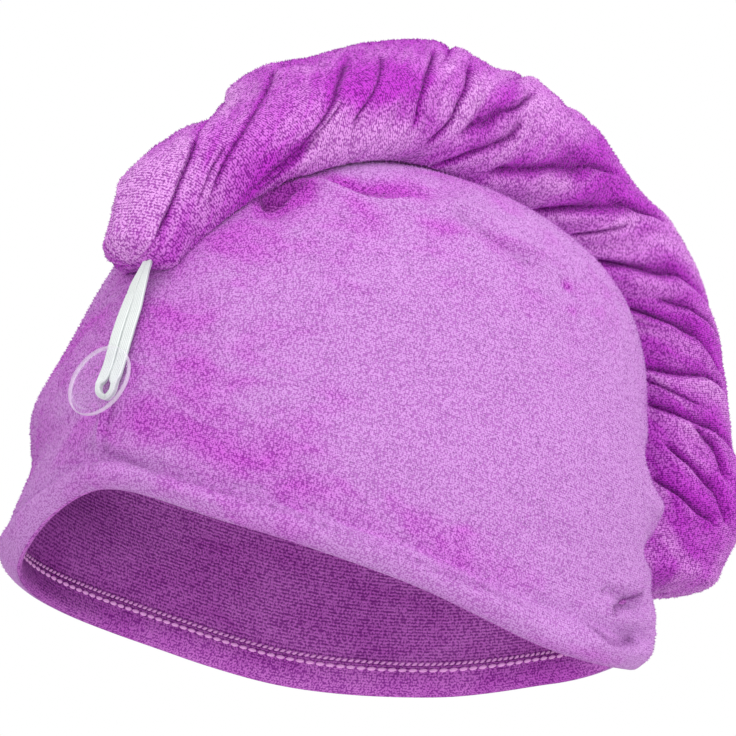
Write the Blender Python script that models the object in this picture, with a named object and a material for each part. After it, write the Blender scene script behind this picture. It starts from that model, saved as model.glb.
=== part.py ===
# Hair turban towel in its worn form: a hollow plush hood, the twisted tail that
# lies over it, the elastic loop at the tail's tip and the button that holds it.
# Run with: blender --background --python part.py
# World frame: +Z up, -Y to the forehead, +Y to the nape, metres. The origin is
# where the crown of the hood rests on the head.
import math

import bmesh
import bpy
import numpy as np

MM = 0.001

# Driving sizes in millimetres
HALF_WIDTH = 84.0      # centre line of the cloth at the rim, to each side
FRONT_LENGTH = 99.5    # centre line of the cloth at the rim, to the forehead
BACK_LENGTH = 104.5    # centre line of the cloth at the rim, to the nape
HOOD_HEIGHT = 139.0    # rim plane to the centre line of the cloth at the crown
RIM_WAVE = 15.0        # how far the rim rises at the nape
CLOTH = 3.0            # plush cloth of the hood, pile included
HEM_TALL = 9.5         # turned hem
HEM_THICK = 7.5        # turned hem, at its fullest
SEAM_RISE = 0.9        # nape seam above the cloth
SEAM_WIDE = 4.0
SEAM_TOP = 0.49 * HOOD_HEIGHT    # above this height the tail presses the seam flat
DENT_DEPTH = 4.0       # deepest dent of the hood
TAIL_WIDE = 68.0       # twisted tail at its fullest, side to side
TAIL_THICK = 62.0      # twisted tail at its fullest, away from the hood
TAIL_TURN = 185.0      # length of tail in which its folds go once round
FOLD_DEPTH = 6.0       # deepest groove between two folds of the tail
FOLD_WIDE = 9.0        # width of a groove's mouth
ELASTIC_WIDE = 4.2     # one strand of the loop
ELASTIC_THICK = 1.3
BUTTON_ACROSS = 22.0
BUTTON_THICK = 2.2
BUTTON_RIM = 1.6       # width of the button's raised rim
BUTTON_DISH = 0.6      # how far the button's face lies below its rim
BUTTON_EDGE = 0.4      # rounding of the disc's edge
SHANK_ACROSS = 3.0
SHANK_LONG = 4.8       # foot included
FOOT_ACROSS = 4.4      # foot of the shank, on the cloth
FOOT_THICK = 0.5
BUTTON_RISE = 28.0     # rim to the button, up the nape
BUTTON_SIDE = 3.5      # button and loop to the wearer's right of the nape seam
ELASTIC_SPREAD = 0.4   # between the two strands of the loop
TIP_ROUND = 4.5        # rounded end of the tail, at the nape
ROOT_ROUND = 9.0       # rounded end of the tail, at the forehead
BUTTON_TILT = 9.0      # degrees that the loop tips the button back
GAP = 0.3              # clearance between pieces that touch
TAIL_GAP = 3 * GAP     # at the tail's corners, so that the flat faces between them stay clear
SEAT_HEIGHT = HOOD_HEIGHT - CLOTH / 2    # rim plane to where the crown rests on the head

# Mesh counts
HOOD_COLUMNS = 52
HOOD_ROWS = 11         # on each face, between the hem and the crown
TAIL_COLUMNS = 56
TAIL_RINGS = 54
BUTTON_SIDES = 32

# Hood sections from the rim to the crown: share of HOOD_HEIGHT, then shares of
# HALF_WIDTH, FRONT_LENGTH and BACK_LENGTH
HOOD_LEVELS = [
    # height, width, front, back
    (0.000, 1.000, 1.000, 1.000),
    (0.120, 0.985, 0.975, 1.010),
    (0.280, 0.980, 0.945, 1.010),
    (0.480, 0.935, 0.910, 0.970),
    (0.665, 0.865, 0.860, 0.875),
    (0.820, 0.750, 0.755, 0.715),
    (0.930, 0.540, 0.550, 0.495),
    (0.985, 0.280, 0.290, 0.250),
    (1.000, 0.000, 0.000, 0.000),
]
# Roundness of the sections: 2 is an ellipse, more is squarer
BACK_POWER = 1.95
FRONT_POWER = 2.15

# Roundness of the tail's underside, which sags on the hood: 1 is round, less is squarer
SAG_POWER = 0.62

# Height of the rim round the opening, from the nape over the wearer's right to
# the forehead and back, every 30 degrees: shares of RIM_WAVE
RIM_HEIGHTS = [0.95, 0.47, -0.03, -0.53, -0.16, 0.58, 0.27, -0.22, -0.49, -0.37, -0.30, 0.03]

# Cross-section of the turned hem, from the cloth's inner face round the lip to
# its outer face: height as a share of HEM_TALL, outward offset of HEM_THICK
HEM_SECTION = [
    # height, outward
    (1.45, -0.19),
    (1.12, -0.19),
    (0.95, -0.36),
    (0.60, -0.48),
    (0.22, -0.36),
    (0.02, -0.05),
    (0.12, 0.32),
    (0.48, 0.56),
    (0.86, 0.42),
    (1.10, 0.12),
    (1.45, 0.19),
]

# Dents and folds of the hood: middle as degrees from the nape and share of the
# hood's height, reach in degrees and in share of height, depth of DENT_DEPTH
# (below nought a fold that stands out)
HOOD_DENTS = [
    # degrees, height, reach round, reach up, depth
    (21.5, 0.750, 7.0, 0.045, 1.10),
    (24.0, 0.815, 7.0, 0.030, -0.45),
    (41.0, 0.862, 14.0, 0.030, 0.70),
    (40.0, 0.812, 17.0, 0.026, -0.50),
    (66.0, 0.835, 10.0, 0.022, -0.35),
    (80.0, 0.788, 10.0, 0.022, -0.35),
    (91.0, 0.735, 5.0, 0.025, 0.30),
    (114.0, 0.140, 11.0, 0.018, 0.75),
    (113.0, 0.103, 12.0, 0.025, -0.40),
    (113.0, 0.065, 11.0, 0.015, 0.50),
    (136.0, 0.465, 16.0, 0.055, 1.10),
    (134.0, 0.365, 13.0, 0.045, -0.75),
    (137.0, 0.262, 16.0, 0.040, 1.50),
    (137.0, 0.108, 18.0, 0.055, -1.00),
    (-52.0, 0.065, 34.0, 0.100, -2.00),
    (-20.0, 0.206, 20.0, 0.040, 0.20),
    (-45.0, 0.150, 30.0, 0.080, -0.55),
    (-55.0, 0.330, 40.0, 0.150, -1.95),
    (-48.0, 0.640, 26.0, 0.110, 0.70),
    (62.0, 0.420, 30.0, 0.160, 0.20),
    (-120.0, 0.400, 22.0, 0.160, 0.40),
    (165.0, 0.240, 14.0, 0.100, 0.50),
    (-160.0, 0.200, 12.0, 0.080, 0.40),
    (140.0, 0.560, 26.0, 0.120, 0.45),
    (140.0, -0.010, 18.0, 0.060, 1.60),
]

# Tail from the forehead over the crown to the nape. The way along the middle
# of the hood is 0 at the front rim, 1 at the crown and 2 at the back rim. Lift is
# the tail's centre above the hood in shares of TAIL_THICK, aside is to the
# wearer's left, and width and thickness are shares of TAIL_WIDE and TAIL_THICK.
TAIL_ROWS = [
    # way, lift, aside, width, thickness
    (0.278, 0.555, 0.00, 0.91, 0.93),
    (0.41, 0.57, 0.00, 1.00, 0.98),
    (0.56, 0.52, 0.00, 1.00, 1.00),
    (0.72, 0.435, 0.00, 0.98, 0.945),
    (0.88, 0.392, -0.02, 0.96, 0.94),
    (1.04, 0.330, -0.04, 0.96, 0.83),
    (1.18, 0.236, -0.04, 0.92, 0.64),
    (1.32, 0.145, -0.03, 0.76, 0.47),
    (1.44, 0.145, -0.01, 0.54, 0.44),
    (1.55, 0.13, 0.02, 0.37, 0.31),
]

# Grooves of the twist: the stretch of the tail that each runs through, its place
# round the twist at both ends of that stretch as shares of a turn, its depth of
# FOLD_DEPTH and its width of FOLD_WIDE
TAIL_FOLDS = [
    # from, to, turn there, turn here, depth, width
    (-0.04, 0.07, 0.090, 0.320, 1.00, 1.00),
    (-0.02, 0.11, 0.000, 0.245, 0.80, 0.75),
    (0.03, 0.13, -0.044, 0.180, 0.55, 0.60),
    (0.05, 0.16, -0.030, 0.180, 0.90, 0.80),
    (0.09, 0.18, 0.020, 0.115, 0.45, 0.60),
    (0.11, 0.20, 0.800, 1.160, 0.60, 0.60),
    (0.12, 0.36, 0.925, 0.925, 0.85, 0.80),
    (0.15, 0.26, 0.845, 0.880, 0.70, 0.60),
    (0.18, 0.40, 0.812, 0.785, 0.70, 0.75),
    (0.28, 0.38, 0.698, 0.700, 0.40, 0.50),
    (0.23, 0.46, 0.700, 0.570, 0.80, 0.85),
    (0.28, 0.54, 0.625, 0.360, 0.95, 0.90),
    (0.41, 0.57, 0.308, 0.226, 0.40, 0.55),
    (0.43, 0.64, 0.362, 0.295, 1.00, 0.90),
    (0.48, 0.66, 0.105, 0.320, 0.75, 0.80),
    (0.49, 0.70, 0.030, 0.085, 0.35, 0.80),
    (0.58, 0.86, 0.855, 0.925, 0.90, 0.80),
    (0.50, 0.98, 0.770, 0.655, 0.75, 0.80),
    (0.76, 1.06, 0.600, 0.415, 1.00, 0.75),
    (-0.05, 0.24, 0.430, 0.400, 0.90, 0.90),
    (-0.05, 0.28, 0.570, 0.530, 0.70, 0.80),
    (-0.04, 0.30, 0.700, 0.720, 0.85, 0.90),
    (0.08, 0.46, 0.280, 0.255, 0.85, 0.85),
    (0.16, 0.52, 0.120, 0.150, 0.90, 0.90),
    (0.28, 0.64, 0.990, 0.965, 0.75, 0.85),
    (0.40, 0.60, 0.650, 0.690, 0.80, 0.80),
    (0.55, 0.92, 0.470, 0.440, 0.85, 0.85),
    (0.56, 0.88, 0.350, 0.330, 0.70, 0.80),
    (0.74, 1.05, 0.270, 0.270, 0.60, 0.70),
    (0.78, 1.05, 0.120, 0.115, 0.80, 0.80),
    (0.82, 1.05, 0.970, 0.950, 0.70, 0.70),
]


# Lumps and hollows of the wound cloth: place as share of the tail's length and
# degrees round from its top to the wearer's right, reach each way, and height
# as a share of FOLD_DEPTH
TAIL_LUMPS = [
    # share, degrees, reach along, reach round, height
    (0.345, 30.0, 0.042, 50.0, -0.75),
    (0.420, 45.0, 0.040, 35.0, -0.45),
    (0.490, 25.0, 0.050, 50.0, -0.62),
    (0.070, 54.0, 0.080, 50.0, 0.85),
    (0.715, -35.0, 0.035, 45.0, 0.60),
    (0.785, -50.0, 0.035, 45.0, -0.50),
    (0.925, -38.0, 0.050, 45.0, 0.32),
]


def smooth_rows(rows, share):
    """Values at a share 0 to 1 of the way down a table, on a smooth curve through its rows."""
    rows = np.asarray(rows, float)
    last = len(rows) - 1
    place = np.clip(np.asarray(share, float), 0.0, 1.0) * last
    index = np.minimum(place.astype(int), last - 1)
    part = (place - index)[..., None] if rows.ndim > 1 else place - index
    ends = np.concatenate([[2 * rows[0] - rows[1]], rows, [2 * rows[-1] - rows[-2]]])
    before, here, there, after = (ends[index + k] for k in range(4))
    slope = (there - before) * part
    bend = (2 * before - 5 * here + 4 * there - after) * part ** 2
    turn = (3 * here - before - 3 * there + after) * part ** 3
    return 0.5 * (2 * here + slope + bend + turn)


def bump(distance):
    """A smooth hill: 1 in the middle, fading out past 1."""
    return np.exp(-2.0 * distance ** 2)


def signed_power(value, power):
    return np.sign(value) * np.abs(value) ** power


def rim_height(angle):
    """Height of the rim above its plane, on a closed smooth curve."""
    rows = np.array([RIM_HEIGHTS[-1]] + RIM_HEIGHTS + RIM_HEIGHTS[:2])
    turns = np.mod(angle / (2 * math.pi), 1.0)
    share = (1.0 + turns * len(RIM_HEIGHTS)) / (len(rows) - 1)
    return RIM_WAVE * smooth_rows(rows, share)


def hood_relief(angle, height):
    """Dents and folds of the cloth, outward, at a height that is a share of the hood's."""
    relief = np.zeros(np.broadcast(angle, height).shape)
    for degrees, middle, reach_round, reach_up, depth in HOOD_DENTS:
        aside = np.mod(angle - math.radians(degrees) + math.pi, 2 * math.pi) - math.pi
        far = np.hypot(aside / math.radians(reach_round), (height - middle) / reach_up)
        relief -= DENT_DEPTH * depth * bump(far)
    return relief


def hood_middle(angle, share):
    """Centre line of the hood's cloth. Angle 0 is the nape and 90 degrees the wearer's right."""
    level = smooth_rows(HOOD_LEVELS, share)
    height, wide, front, back = (level[..., k] for k in range(4))
    to_back = np.cos(angle) > 0
    length = np.where(to_back, back * BACK_LENGTH, front * FRONT_LENGTH)
    power = 2.0 / np.where(to_back, BACK_POWER, FRONT_POWER)
    height = np.clip(height, 0.0, 1.0)
    x = -wide * HALF_WIDTH * signed_power(np.sin(angle), power)
    y = length * signed_power(np.cos(angle), power)
    z = height * HOOD_HEIGHT + (1 - height) ** 2 * rim_height(angle)
    return np.stack([x, y, z + 0 * x], -1)


def hood_normal(angle, share):
    """Outward direction of the hood's cloth."""
    step = 1e-3
    low = np.clip(share - step, 0.0, 1.0 - 8 * step)
    high = low + 2 * step
    along = hood_middle(angle, high) - hood_middle(angle, low)
    middle = 0.5 * (low + high)
    around = hood_middle(angle + step, middle) - hood_middle(angle - step, middle)
    normal = np.cross(around, along)
    return normal / np.linalg.norm(normal, axis=-1, keepdims=True)


def seam_rise(x, y, z):
    """Height of the nape seam above the cloth."""
    fade = np.clip((SEAM_TOP - z) / SEAM_WIDE, 0.0, 1.0)
    return SEAM_RISE * bump(2 * x / SEAM_WIDE) * (y > 0) * fade


def hood_face(angle, share, side):
    """Outer face of the cloth where side is 1, inner face where it is -1."""
    middle = hood_middle(angle, share)
    height = np.clip(smooth_rows(HOOD_LEVELS, share)[..., 0], 0.0, 1.0)
    offset = side * CLOTH / 2 + hood_relief(angle, height)
    if side > 0:
        offset = offset + seam_rise(*np.moveaxis(middle, -1, 0))
    return middle + offset[..., None] * hood_normal(angle, share)


def share_at_height(height):
    """How far up the table of levels a share of the hood's height lies."""
    table = np.linspace(0.0, 1.0, 400)
    return np.interp(height, smooth_rows(HOOD_LEVELS, table)[:, 0], table)


def inside_hood(point, grow):
    """True where a point lies in the hood or nearer than grow to its cloth's outer face."""
    x, y, z = point[..., 0], point[..., 1], point[..., 2]
    reach = CLOTH / 2 + grow
    for _ in range(2):
        top = HOOD_HEIGHT + reach
        height = np.clip(z / top, 0.0, 1.0)
        level = smooth_rows(HOOD_LEVELS, share_at_height(height))
        wide = level[..., 1] * HALF_WIDTH + reach
        length = np.where(y > 0, level[..., 3] * BACK_LENGTH, level[..., 2] * FRONT_LENGTH) + reach
        power = np.where(y > 0, BACK_POWER, FRONT_POWER)
        sideways = signed_power(-x / wide, power / 2)
        angle = np.arctan2(sideways, signed_power(y / length, power / 2))
        reach = CLOTH / 2 + grow + np.maximum(hood_relief(angle, height), 0.0)
        reach = reach + seam_rise(x, y, z)
    return (np.abs(x / wide) ** power + np.abs(y / length) ** power < 1.0) & (z < top)


def hood_columns(columns):
    """Angles of the hood's columns, with four more that shape the nape seam."""
    angle = np.linspace(0.0, 2 * math.pi, columns, endpoint=False)
    seam = np.array([0.5, 1.0]) * SEAM_WIDE / HALF_WIDTH
    return np.sort(np.concatenate([angle, seam, 2 * math.pi - seam]))


def hood_rings():
    """Points of the hood's shell, ring by ring, from the inner crown over the lip to the outer crown."""
    angle = hood_columns(HOOD_COLUMNS)
    hem_top = share_at_height(1.75 * HEM_TALL / HOOD_HEIGHT)
    shares = hem_top + (1.0 - hem_top) * np.linspace(0.0, 1.0, HOOD_ROWS + 1)[:-1]
    inner = [hood_face(angle, np.full(len(angle), share), -1) for share in shares[::-1]]
    hem = []
    for height, outward in HEM_SECTION:
        share = share_at_height(height * HEM_TALL / HOOD_HEIGHT)
        share = np.full(len(angle), share)
        normal = hood_normal(angle, share)
        normal[:, 2] = 0.0
        relief = hood_relief(angle, height * HEM_TALL / HOOD_HEIGHT)
        hem.append(hood_middle(angle, share) + (outward * HEM_THICK + relief)[:, None] * normal)
    outer = [hood_face(angle, np.full(len(angle), share), 1) for share in shares]
    return inner + hem + outer


def skin_rings(name, rings, first_pole, last_pole):
    """One closed mesh through rings of points, with a pole at each end."""
    mesh = bpy.data.meshes.new(name)
    shape = bmesh.new()
    columns = len(rings[0])
    verts = [[shape.verts.new(point) for point in ring] for ring in rings]
    for lower, upper in zip(verts[:-1], verts[1:]):
        for k in range(columns):
            after = (k + 1) % columns
            shape.faces.new((lower[k], upper[k], upper[after], lower[after]))
    for ring, pole in ((verts[0], first_pole), (verts[-1], last_pole)):
        tip = shape.verts.new(pole)
        for k in range(columns):
            shape.faces.new((ring[k], ring[(k + 1) % columns], tip))
    bmesh.ops.recalc_face_normals(shape, faces=shape.faces)
    shape.to_mesh(mesh)
    shape.free()
    return mesh


def material(name, colour, roughness):
    """A Principled material with a colour, a roughness and no metal."""
    made = bpy.data.materials.new(name)
    made.use_nodes = True
    shader = made.node_tree.nodes["Principled BSDF"]
    shader.inputs["Base Color"].default_value = (*colour, 1.0)
    shader.inputs["Roughness"].default_value = roughness
    shader.inputs["Metallic"].default_value = 0.0
    made.diffuse_color = (*colour, 1.0)
    return made


def add_object(name, mesh, finish):
    """Link one piece, moved so that the crown's resting point is the origin and scaled to metres."""
    for vertex in mesh.vertices:
        vertex.co.z -= SEAT_HEIGHT
        vertex.co *= MM
    mesh.materials.append(finish)
    piece = bpy.data.objects.new(name, mesh)
    bpy.context.scene.collection.objects.link(piece)
    mesh.shade_smooth()
    mesh.set_sharp_from_angle(angle=math.radians(50))
    return piece


def make_hood():
    inner_crown = (0.0, 0.0, HOOD_HEIGHT - CLOTH / 2)
    outer_crown = (0.0, 0.0, HOOD_HEIGHT + CLOTH / 2)
    return skin_rings("hood", hood_rings(), inner_crown, outer_crown)


def midline(way):
    """Point (forward-back, up) of the hood's cloth on its middle line."""
    share = np.where(way <= 1.0, way, 2.0 - way)
    level = smooth_rows(HOOD_LEVELS, share)
    y = np.where(way <= 1.0, -level[..., 2] * FRONT_LENGTH, level[..., 3] * BACK_LENGTH)
    return np.stack([y, level[..., 0] * HOOD_HEIGHT], -1)


def tail_frame(share):
    """Centre, outward direction, half width and half thickness of the tail, at shares of its length."""
    way, lift, aside, wide, thick = np.moveaxis(smooth_rows(TAIL_ROWS, share), -1, 0)
    step = 0.02
    along = midline(way + step) - midline(way - step)
    along /= np.linalg.norm(along, axis=-1, keepdims=True)
    outward = np.stack([0 * way, -along[..., 1], along[..., 0]], -1)
    base = midline(way)
    centre = np.stack([aside * TAIL_WIDE, base[..., 0], base[..., 1]], -1)
    centre += (lift * TAIL_THICK)[..., None] * outward
    return centre, outward, wide * TAIL_WIDE / 2, thick * TAIL_THICK / 2


def tail_length(share):
    """Length along the tail's centre line up to each share."""
    fine = np.linspace(0.0, 1.0, 400)
    centre = tail_frame(fine)[0]
    steps = np.linalg.norm(np.diff(centre, axis=0), axis=1)
    return np.interp(share, fine, np.concatenate([[0.0], np.cumsum(steps)]))


def fold_relief(turn, share):
    """Depth of the grooves at a share of a turn round the twist and a share of the tail's length."""
    depth = np.zeros(np.broadcast(turn, share).shape)
    around = math.pi * (TAIL_WIDE + TAIL_THICK) / 2
    for first, last, start, end, deep, wide in TAIL_FOLDS:
        place = start + (end - start) * (share - first) / (last - first)
        off = np.abs(np.mod(turn - place + 0.5, 1.0) - 0.5) * around
        ramp = 0.3 * (last - first)
        fade = np.clip((share - first) / ramp, 0, 1) * np.clip((last - share) / ramp, 0, 1)
        groove = FOLD_DEPTH * deep * fade * np.exp(-(off / (0.5 * FOLD_WIDE * wide)) ** 1.4)
        depth = np.maximum(depth, groove)
    return depth


def lump_relief(angle, share):
    """Height of the lumps at an angle from the tail's top and a share of its length."""
    height = np.zeros(np.broadcast(angle, share).shape)
    for middle, degrees, reach_along, reach_round, high in TAIL_LUMPS:
        aside = np.mod(angle - math.radians(degrees) + math.pi, 2 * math.pi) - math.pi
        far = np.hypot(aside / math.radians(reach_round), (share - middle) / reach_along)
        height += FOLD_DEPTH * high * bump(far)
    return height


def tail_ring(share, turn):
    """One ring of the tail's skin, turned with the twist and pressed flat where it meets the hood."""
    centre, outward, half_wide, half_thick = tail_frame(share)
    angle = 2 * math.pi * (turn + tail_length(share) / TAIL_TURN)
    size = half_thick / (TAIL_THICK / 2)
    groove = fold_relief(turn, share) * (0.35 + 0.65 * size) - lump_relief(angle, share)
    sag = 1.0 - (1.0 - SAG_POWER) * (np.cos(angle) < 0)
    near = -(half_wide - groove) * signed_power(np.sin(angle), sag)
    out = (half_thick - groove) * signed_power(np.cos(angle), sag)
    arm = np.stack([near, 0 * near, 0 * near], -1) + out[:, None] * outward
    return press_on_hood(centre, arm)


def press_on_hood(centre, arm):
    """Shorten each arm from a centre outside the hood until its end is clear of the cloth."""
    low = np.zeros(len(arm))
    high = np.ones(len(arm))
    free = ~inside_hood(centre + arm, TAIL_GAP)
    for _ in range(18):
        middle = 0.5 * (low + high)
        outside = ~inside_hood(centre + middle[:, None] * arm, TAIL_GAP)
        low = np.where(outside, middle, low)
        high = np.where(outside, high, middle)
    reach = np.where(free, 1.0, low)
    return centre + reach[:, None] * arm


def make_tail():
    turn = np.linspace(0.0, 1.0, TAIL_COLUMNS, endpoint=False)
    shares = np.linspace(0.0, 1.0, TAIL_RINGS)
    rings = [tail_ring(share, turn) for share in shares]
    first = end_rings(rings[0], rings[1], ROOT_ROUND)
    last = end_rings(rings[-1], rings[-2], TIP_ROUND)
    rings = first[::-1] + rings + last
    return skin_rings("twisted_tail", rings, rings[0].mean(axis=0), rings[-1].mean(axis=0))


def end_rings(ring, inner, reach):
    """Rings that round off an end of the tail."""
    middle = ring.mean(axis=0)
    along = middle - inner.mean(axis=0)
    along /= np.linalg.norm(along)
    rings = []
    for degrees in (22, 45, 65, 80):
        angle = math.radians(degrees)
        rings.append(middle + (ring - middle) * math.cos(angle) + along * reach * math.sin(angle))
    return rings


def nape_length():
    """Shares of the hood's levels at the nape, with the length up the cloth from the rim to each."""
    share = np.linspace(0.0, 1.0, 400)
    path = hood_middle(np.zeros(400), share)
    steps = np.linalg.norm(np.diff(path, axis=0), axis=1)
    return share, np.concatenate([[0.0], np.cumsum(steps)])


def nape_place(side, up):
    """Outer face of the hood beside the nape seam, at a length up from the rim, and the way out of it."""
    share, length = nape_length()
    share = np.interp(up, length, share)
    wide = smooth_rows(HOOD_LEVELS, share)[..., 1] * HALF_WIDTH
    angle = -np.sign(side) * np.arcsin(np.abs(side / wide) ** (BACK_POWER / 2))
    return hood_face(angle, share, 1), hood_normal(angle, share)


def tip_place():
    """Where the loop meets the tail's rounded end: length up from the rim and height off the cloth."""
    rings = [tail_ring(share, np.linspace(0, 1, 60, endpoint=False)) for share in (0.98, 1.0)]
    middle = rings[1].mean(axis=0)
    along = middle - rings[0].mean(axis=0)
    along /= np.linalg.norm(along)
    half_wide = TAIL_ROWS[-1][3] * TAIL_WIDE / 2
    meet = middle + TIP_ROUND * math.sqrt(1 - (BUTTON_SIDE / half_wide) ** 2) * along
    up = np.linspace(BUTTON_RISE, 0.8 * nape_length()[1][-1], 600)
    place, out = nape_place(np.zeros(600), up)
    nearest = np.argmin(np.linalg.norm(place - meet, axis=1))
    return up[nearest], float((meet - place[nearest]) @ out[nearest])


def elastic_path():
    """Middle of the loop: side and length up from the button, height off the cloth, and its section."""
    tip_up, tip_off = tip_place()
    turn_radius = SHANK_ACROSS / 2 + GAP + ELASTIC_THICK / 2
    beside = (ELASTIC_WIDE + ELASTIC_SPREAD) / 2
    on_edge = 0.62 * ELASTIC_WIDE
    tipped = FOOT_ACROSS / 2 * math.sin(math.radians(BUTTON_TILT))
    low = button_base() + FOOT_THICK + 0.6 * tipped + GAP + on_edge / 2
    flat = 2.5 * GAP + ELASTIC_THICK / 2
    tip_half = 0.55 * ELASTIC_THICK
    tip_wide = 0.9 * tip_half
    length = tip_up - BUTTON_RISE - GAP - tip_wide / 2
    strand = [
        # side, up, off the cloth, in-plane width, thickness
        (turn_radius, 0.0, low, ELASTIC_THICK, on_edge),
        (turn_radius, 0.08 * length, low, ELASTIC_THICK, on_edge),
        (beside + 0.3 * GAP, 0.22 * length, flat + 0.3 * GAP, ELASTIC_WIDE, ELASTIC_THICK),
        (beside, 0.45 * length, flat + GAP, ELASTIC_WIDE, ELASTIC_THICK),
        (beside, 0.65 * length, flat + 0.2 * tip_off, ELASTIC_WIDE, ELASTIC_THICK),
        (0.90 * beside, 0.82 * length, flat + 0.4 * tip_off, 0.88 * ELASTIC_WIDE, ELASTIC_THICK),
        (tip_half, length - tip_half, tip_off, tip_wide, ELASTIC_THICK),
    ]
    right = smooth_rows(strand, np.linspace(0.0, 1.0, 15))
    left = right[::-1] * np.array([-1, 1, 1, 1, 1])
    bottom = []
    for angle in np.linspace(0.0, math.pi, 10)[1:-1]:
        side = -turn_radius * math.cos(angle)
        bottom.append((side, -turn_radius * math.sin(angle), low, ELASTIC_THICK, on_edge))
    top = []
    for angle in np.linspace(0.0, math.pi, 6)[1:-1]:
        up = length - tip_half * (1 - math.sin(angle))
        top.append((tip_half * math.cos(angle), up, tip_off, tip_wide, ELASTIC_THICK))
    return np.concatenate([right, top, left, bottom])


def make_elastic():
    """A flat loop swept round its path, on edge where it goes round the shank."""
    path = elastic_path()
    place, out = nape_place(path[:, 0] - BUTTON_SIDE, BUTTON_RISE + path[:, 1])
    centre = place + path[:, 2][:, None] * out
    along = np.roll(centre, -1, axis=0) - np.roll(centre, 1, axis=0)
    along /= np.linalg.norm(along, axis=1)[:, None]
    across = np.cross(along, out)
    across /= np.linalg.norm(across, axis=1)[:, None]
    up = np.cross(across, along)
    corners = [(-1, -0.4), (-0.6, -1), (0.6, -1), (1, -0.4), (1, 0.4), (0.6, 1), (-0.6, 1), (-1, 0.4)]
    mesh = bpy.data.meshes.new("elastic_loop")
    shape = bmesh.new()
    rings = []
    for k in range(len(path)):
        sideways = path[k, 3] / 2 * across[k]
        upward = path[k, 4] / 2 * up[k]
        rings.append([shape.verts.new(centre[k] + a * sideways + b * upward) for a, b in corners])
    for k, ring in enumerate(rings):
        after = rings[(k + 1) % len(rings)]
        for j in range(len(corners)):
            i = (j + 1) % len(corners)
            shape.faces.new((ring[j], ring[i], after[i], after[j]))
    bmesh.ops.recalc_face_normals(shape, faces=shape.faces)
    shape.to_mesh(mesh)
    shape.free()
    return mesh


def button_base():
    """Height of the shank's foot off the cloth: clear of the seam, with the button tipped."""
    seam = seam_rise(max(0.0, BUTTON_SIDE - FOOT_ACROSS / 2), 1.0, 0.0)
    return GAP + seam + FOOT_ACROSS / 2 * math.sin(math.radians(BUTTON_TILT))


def make_button():
    """A turned disc with a raised rim, on a shank with a small foot."""
    disc = BUTTON_ACROSS / 2
    shank = SHANK_ACROSS / 2
    foot = FOOT_ACROSS / 2
    tilt = math.radians(BUTTON_TILT)
    base = button_base()
    under = base + SHANK_LONG
    top = under + BUTTON_THICK
    face = top - BUTTON_DISH
    profile = [
        # radius, height off the cloth
        (foot, base),
        (foot, base + 0.6 * FOOT_THICK),
        (shank, base + FOOT_THICK),
        (shank, under),
        (disc - BUTTON_EDGE, under),
        (disc, under + BUTTON_EDGE),
        (disc, top - BUTTON_EDGE),
        (disc - BUTTON_EDGE, top),
        (disc - BUTTON_RIM, top),
        (disc - BUTTON_RIM - BUTTON_DISH, face),
    ]
    place, out = nape_place(np.array([-BUTTON_SIDE]), np.array([BUTTON_RISE]))
    side = np.cross([0.0, 0.0, 1.0], out[0])
    side /= np.linalg.norm(side)
    up = np.cross(out[0], side)
    axis = math.cos(tilt) * out[0] + math.sin(tilt) * up
    up = np.cross(axis, side)
    turns = np.linspace(0.0, 2 * math.pi, BUTTON_SIDES, endpoint=False)
    spokes = np.cos(turns)[:, None] * side + np.sin(turns)[:, None] * up
    rings = [place[0] + height * axis + radius * spokes for radius, height in profile]
    return skin_rings("button", rings, place[0] + base * axis, place[0] + face * axis)


def main():
    for thing in list(bpy.data.objects):
        bpy.data.objects.remove(thing, do_unlink=True)
    plush = material("plush_orchid", (0.62, 0.24, 0.70), 0.9)
    plush_dark = material("plush_orchid_dark", (0.45, 0.07, 0.52), 0.9)
    add_object("hood", make_hood(), plush)
    add_object("twisted_tail", make_tail(), plush_dark)
    add_object("elastic_loop", make_elastic(), material("elastic_white", (0.90, 0.90, 0.93), 0.7))
    add_object("button", make_button(), material("button_clear", (0.86, 0.87, 0.95), 0.08))


main()
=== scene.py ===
# %% [markdown]
# # A hair turban towel, dressed in Blender
# A plush towel is worn as a bonnet: a hollow hood, a twisted tail that lies over
# it, an elastic loop and a clear button at the nape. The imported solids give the
# sizes and places. Each cell below makes one piece or one finish of the real
# thing, and says why it is made that way.

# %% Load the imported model
import math

import bmesh
import bpy
import numpy as np
from mathutils import Matrix, Vector


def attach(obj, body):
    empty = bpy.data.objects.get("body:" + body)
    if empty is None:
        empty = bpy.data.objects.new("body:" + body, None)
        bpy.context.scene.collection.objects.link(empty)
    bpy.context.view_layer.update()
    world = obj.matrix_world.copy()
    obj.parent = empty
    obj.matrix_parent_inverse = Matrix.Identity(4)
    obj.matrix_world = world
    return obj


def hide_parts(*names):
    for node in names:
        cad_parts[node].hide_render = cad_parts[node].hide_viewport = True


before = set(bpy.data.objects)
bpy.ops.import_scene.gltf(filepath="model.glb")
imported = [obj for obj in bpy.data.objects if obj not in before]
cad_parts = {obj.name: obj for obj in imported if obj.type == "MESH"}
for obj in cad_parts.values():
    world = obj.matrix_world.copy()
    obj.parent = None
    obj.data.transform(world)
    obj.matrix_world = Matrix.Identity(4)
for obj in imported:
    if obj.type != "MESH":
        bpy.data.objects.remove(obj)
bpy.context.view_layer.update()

# %% [markdown]
# ## The camera
# The towel is photographed from behind on the wearer's right, slightly from
# below, so that the opening shows. A real photograph is rarely level, so the
# camera is rolled a little too. A long lens from over a metre away keeps the
# near and the far side of the rim in proportion.

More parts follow.
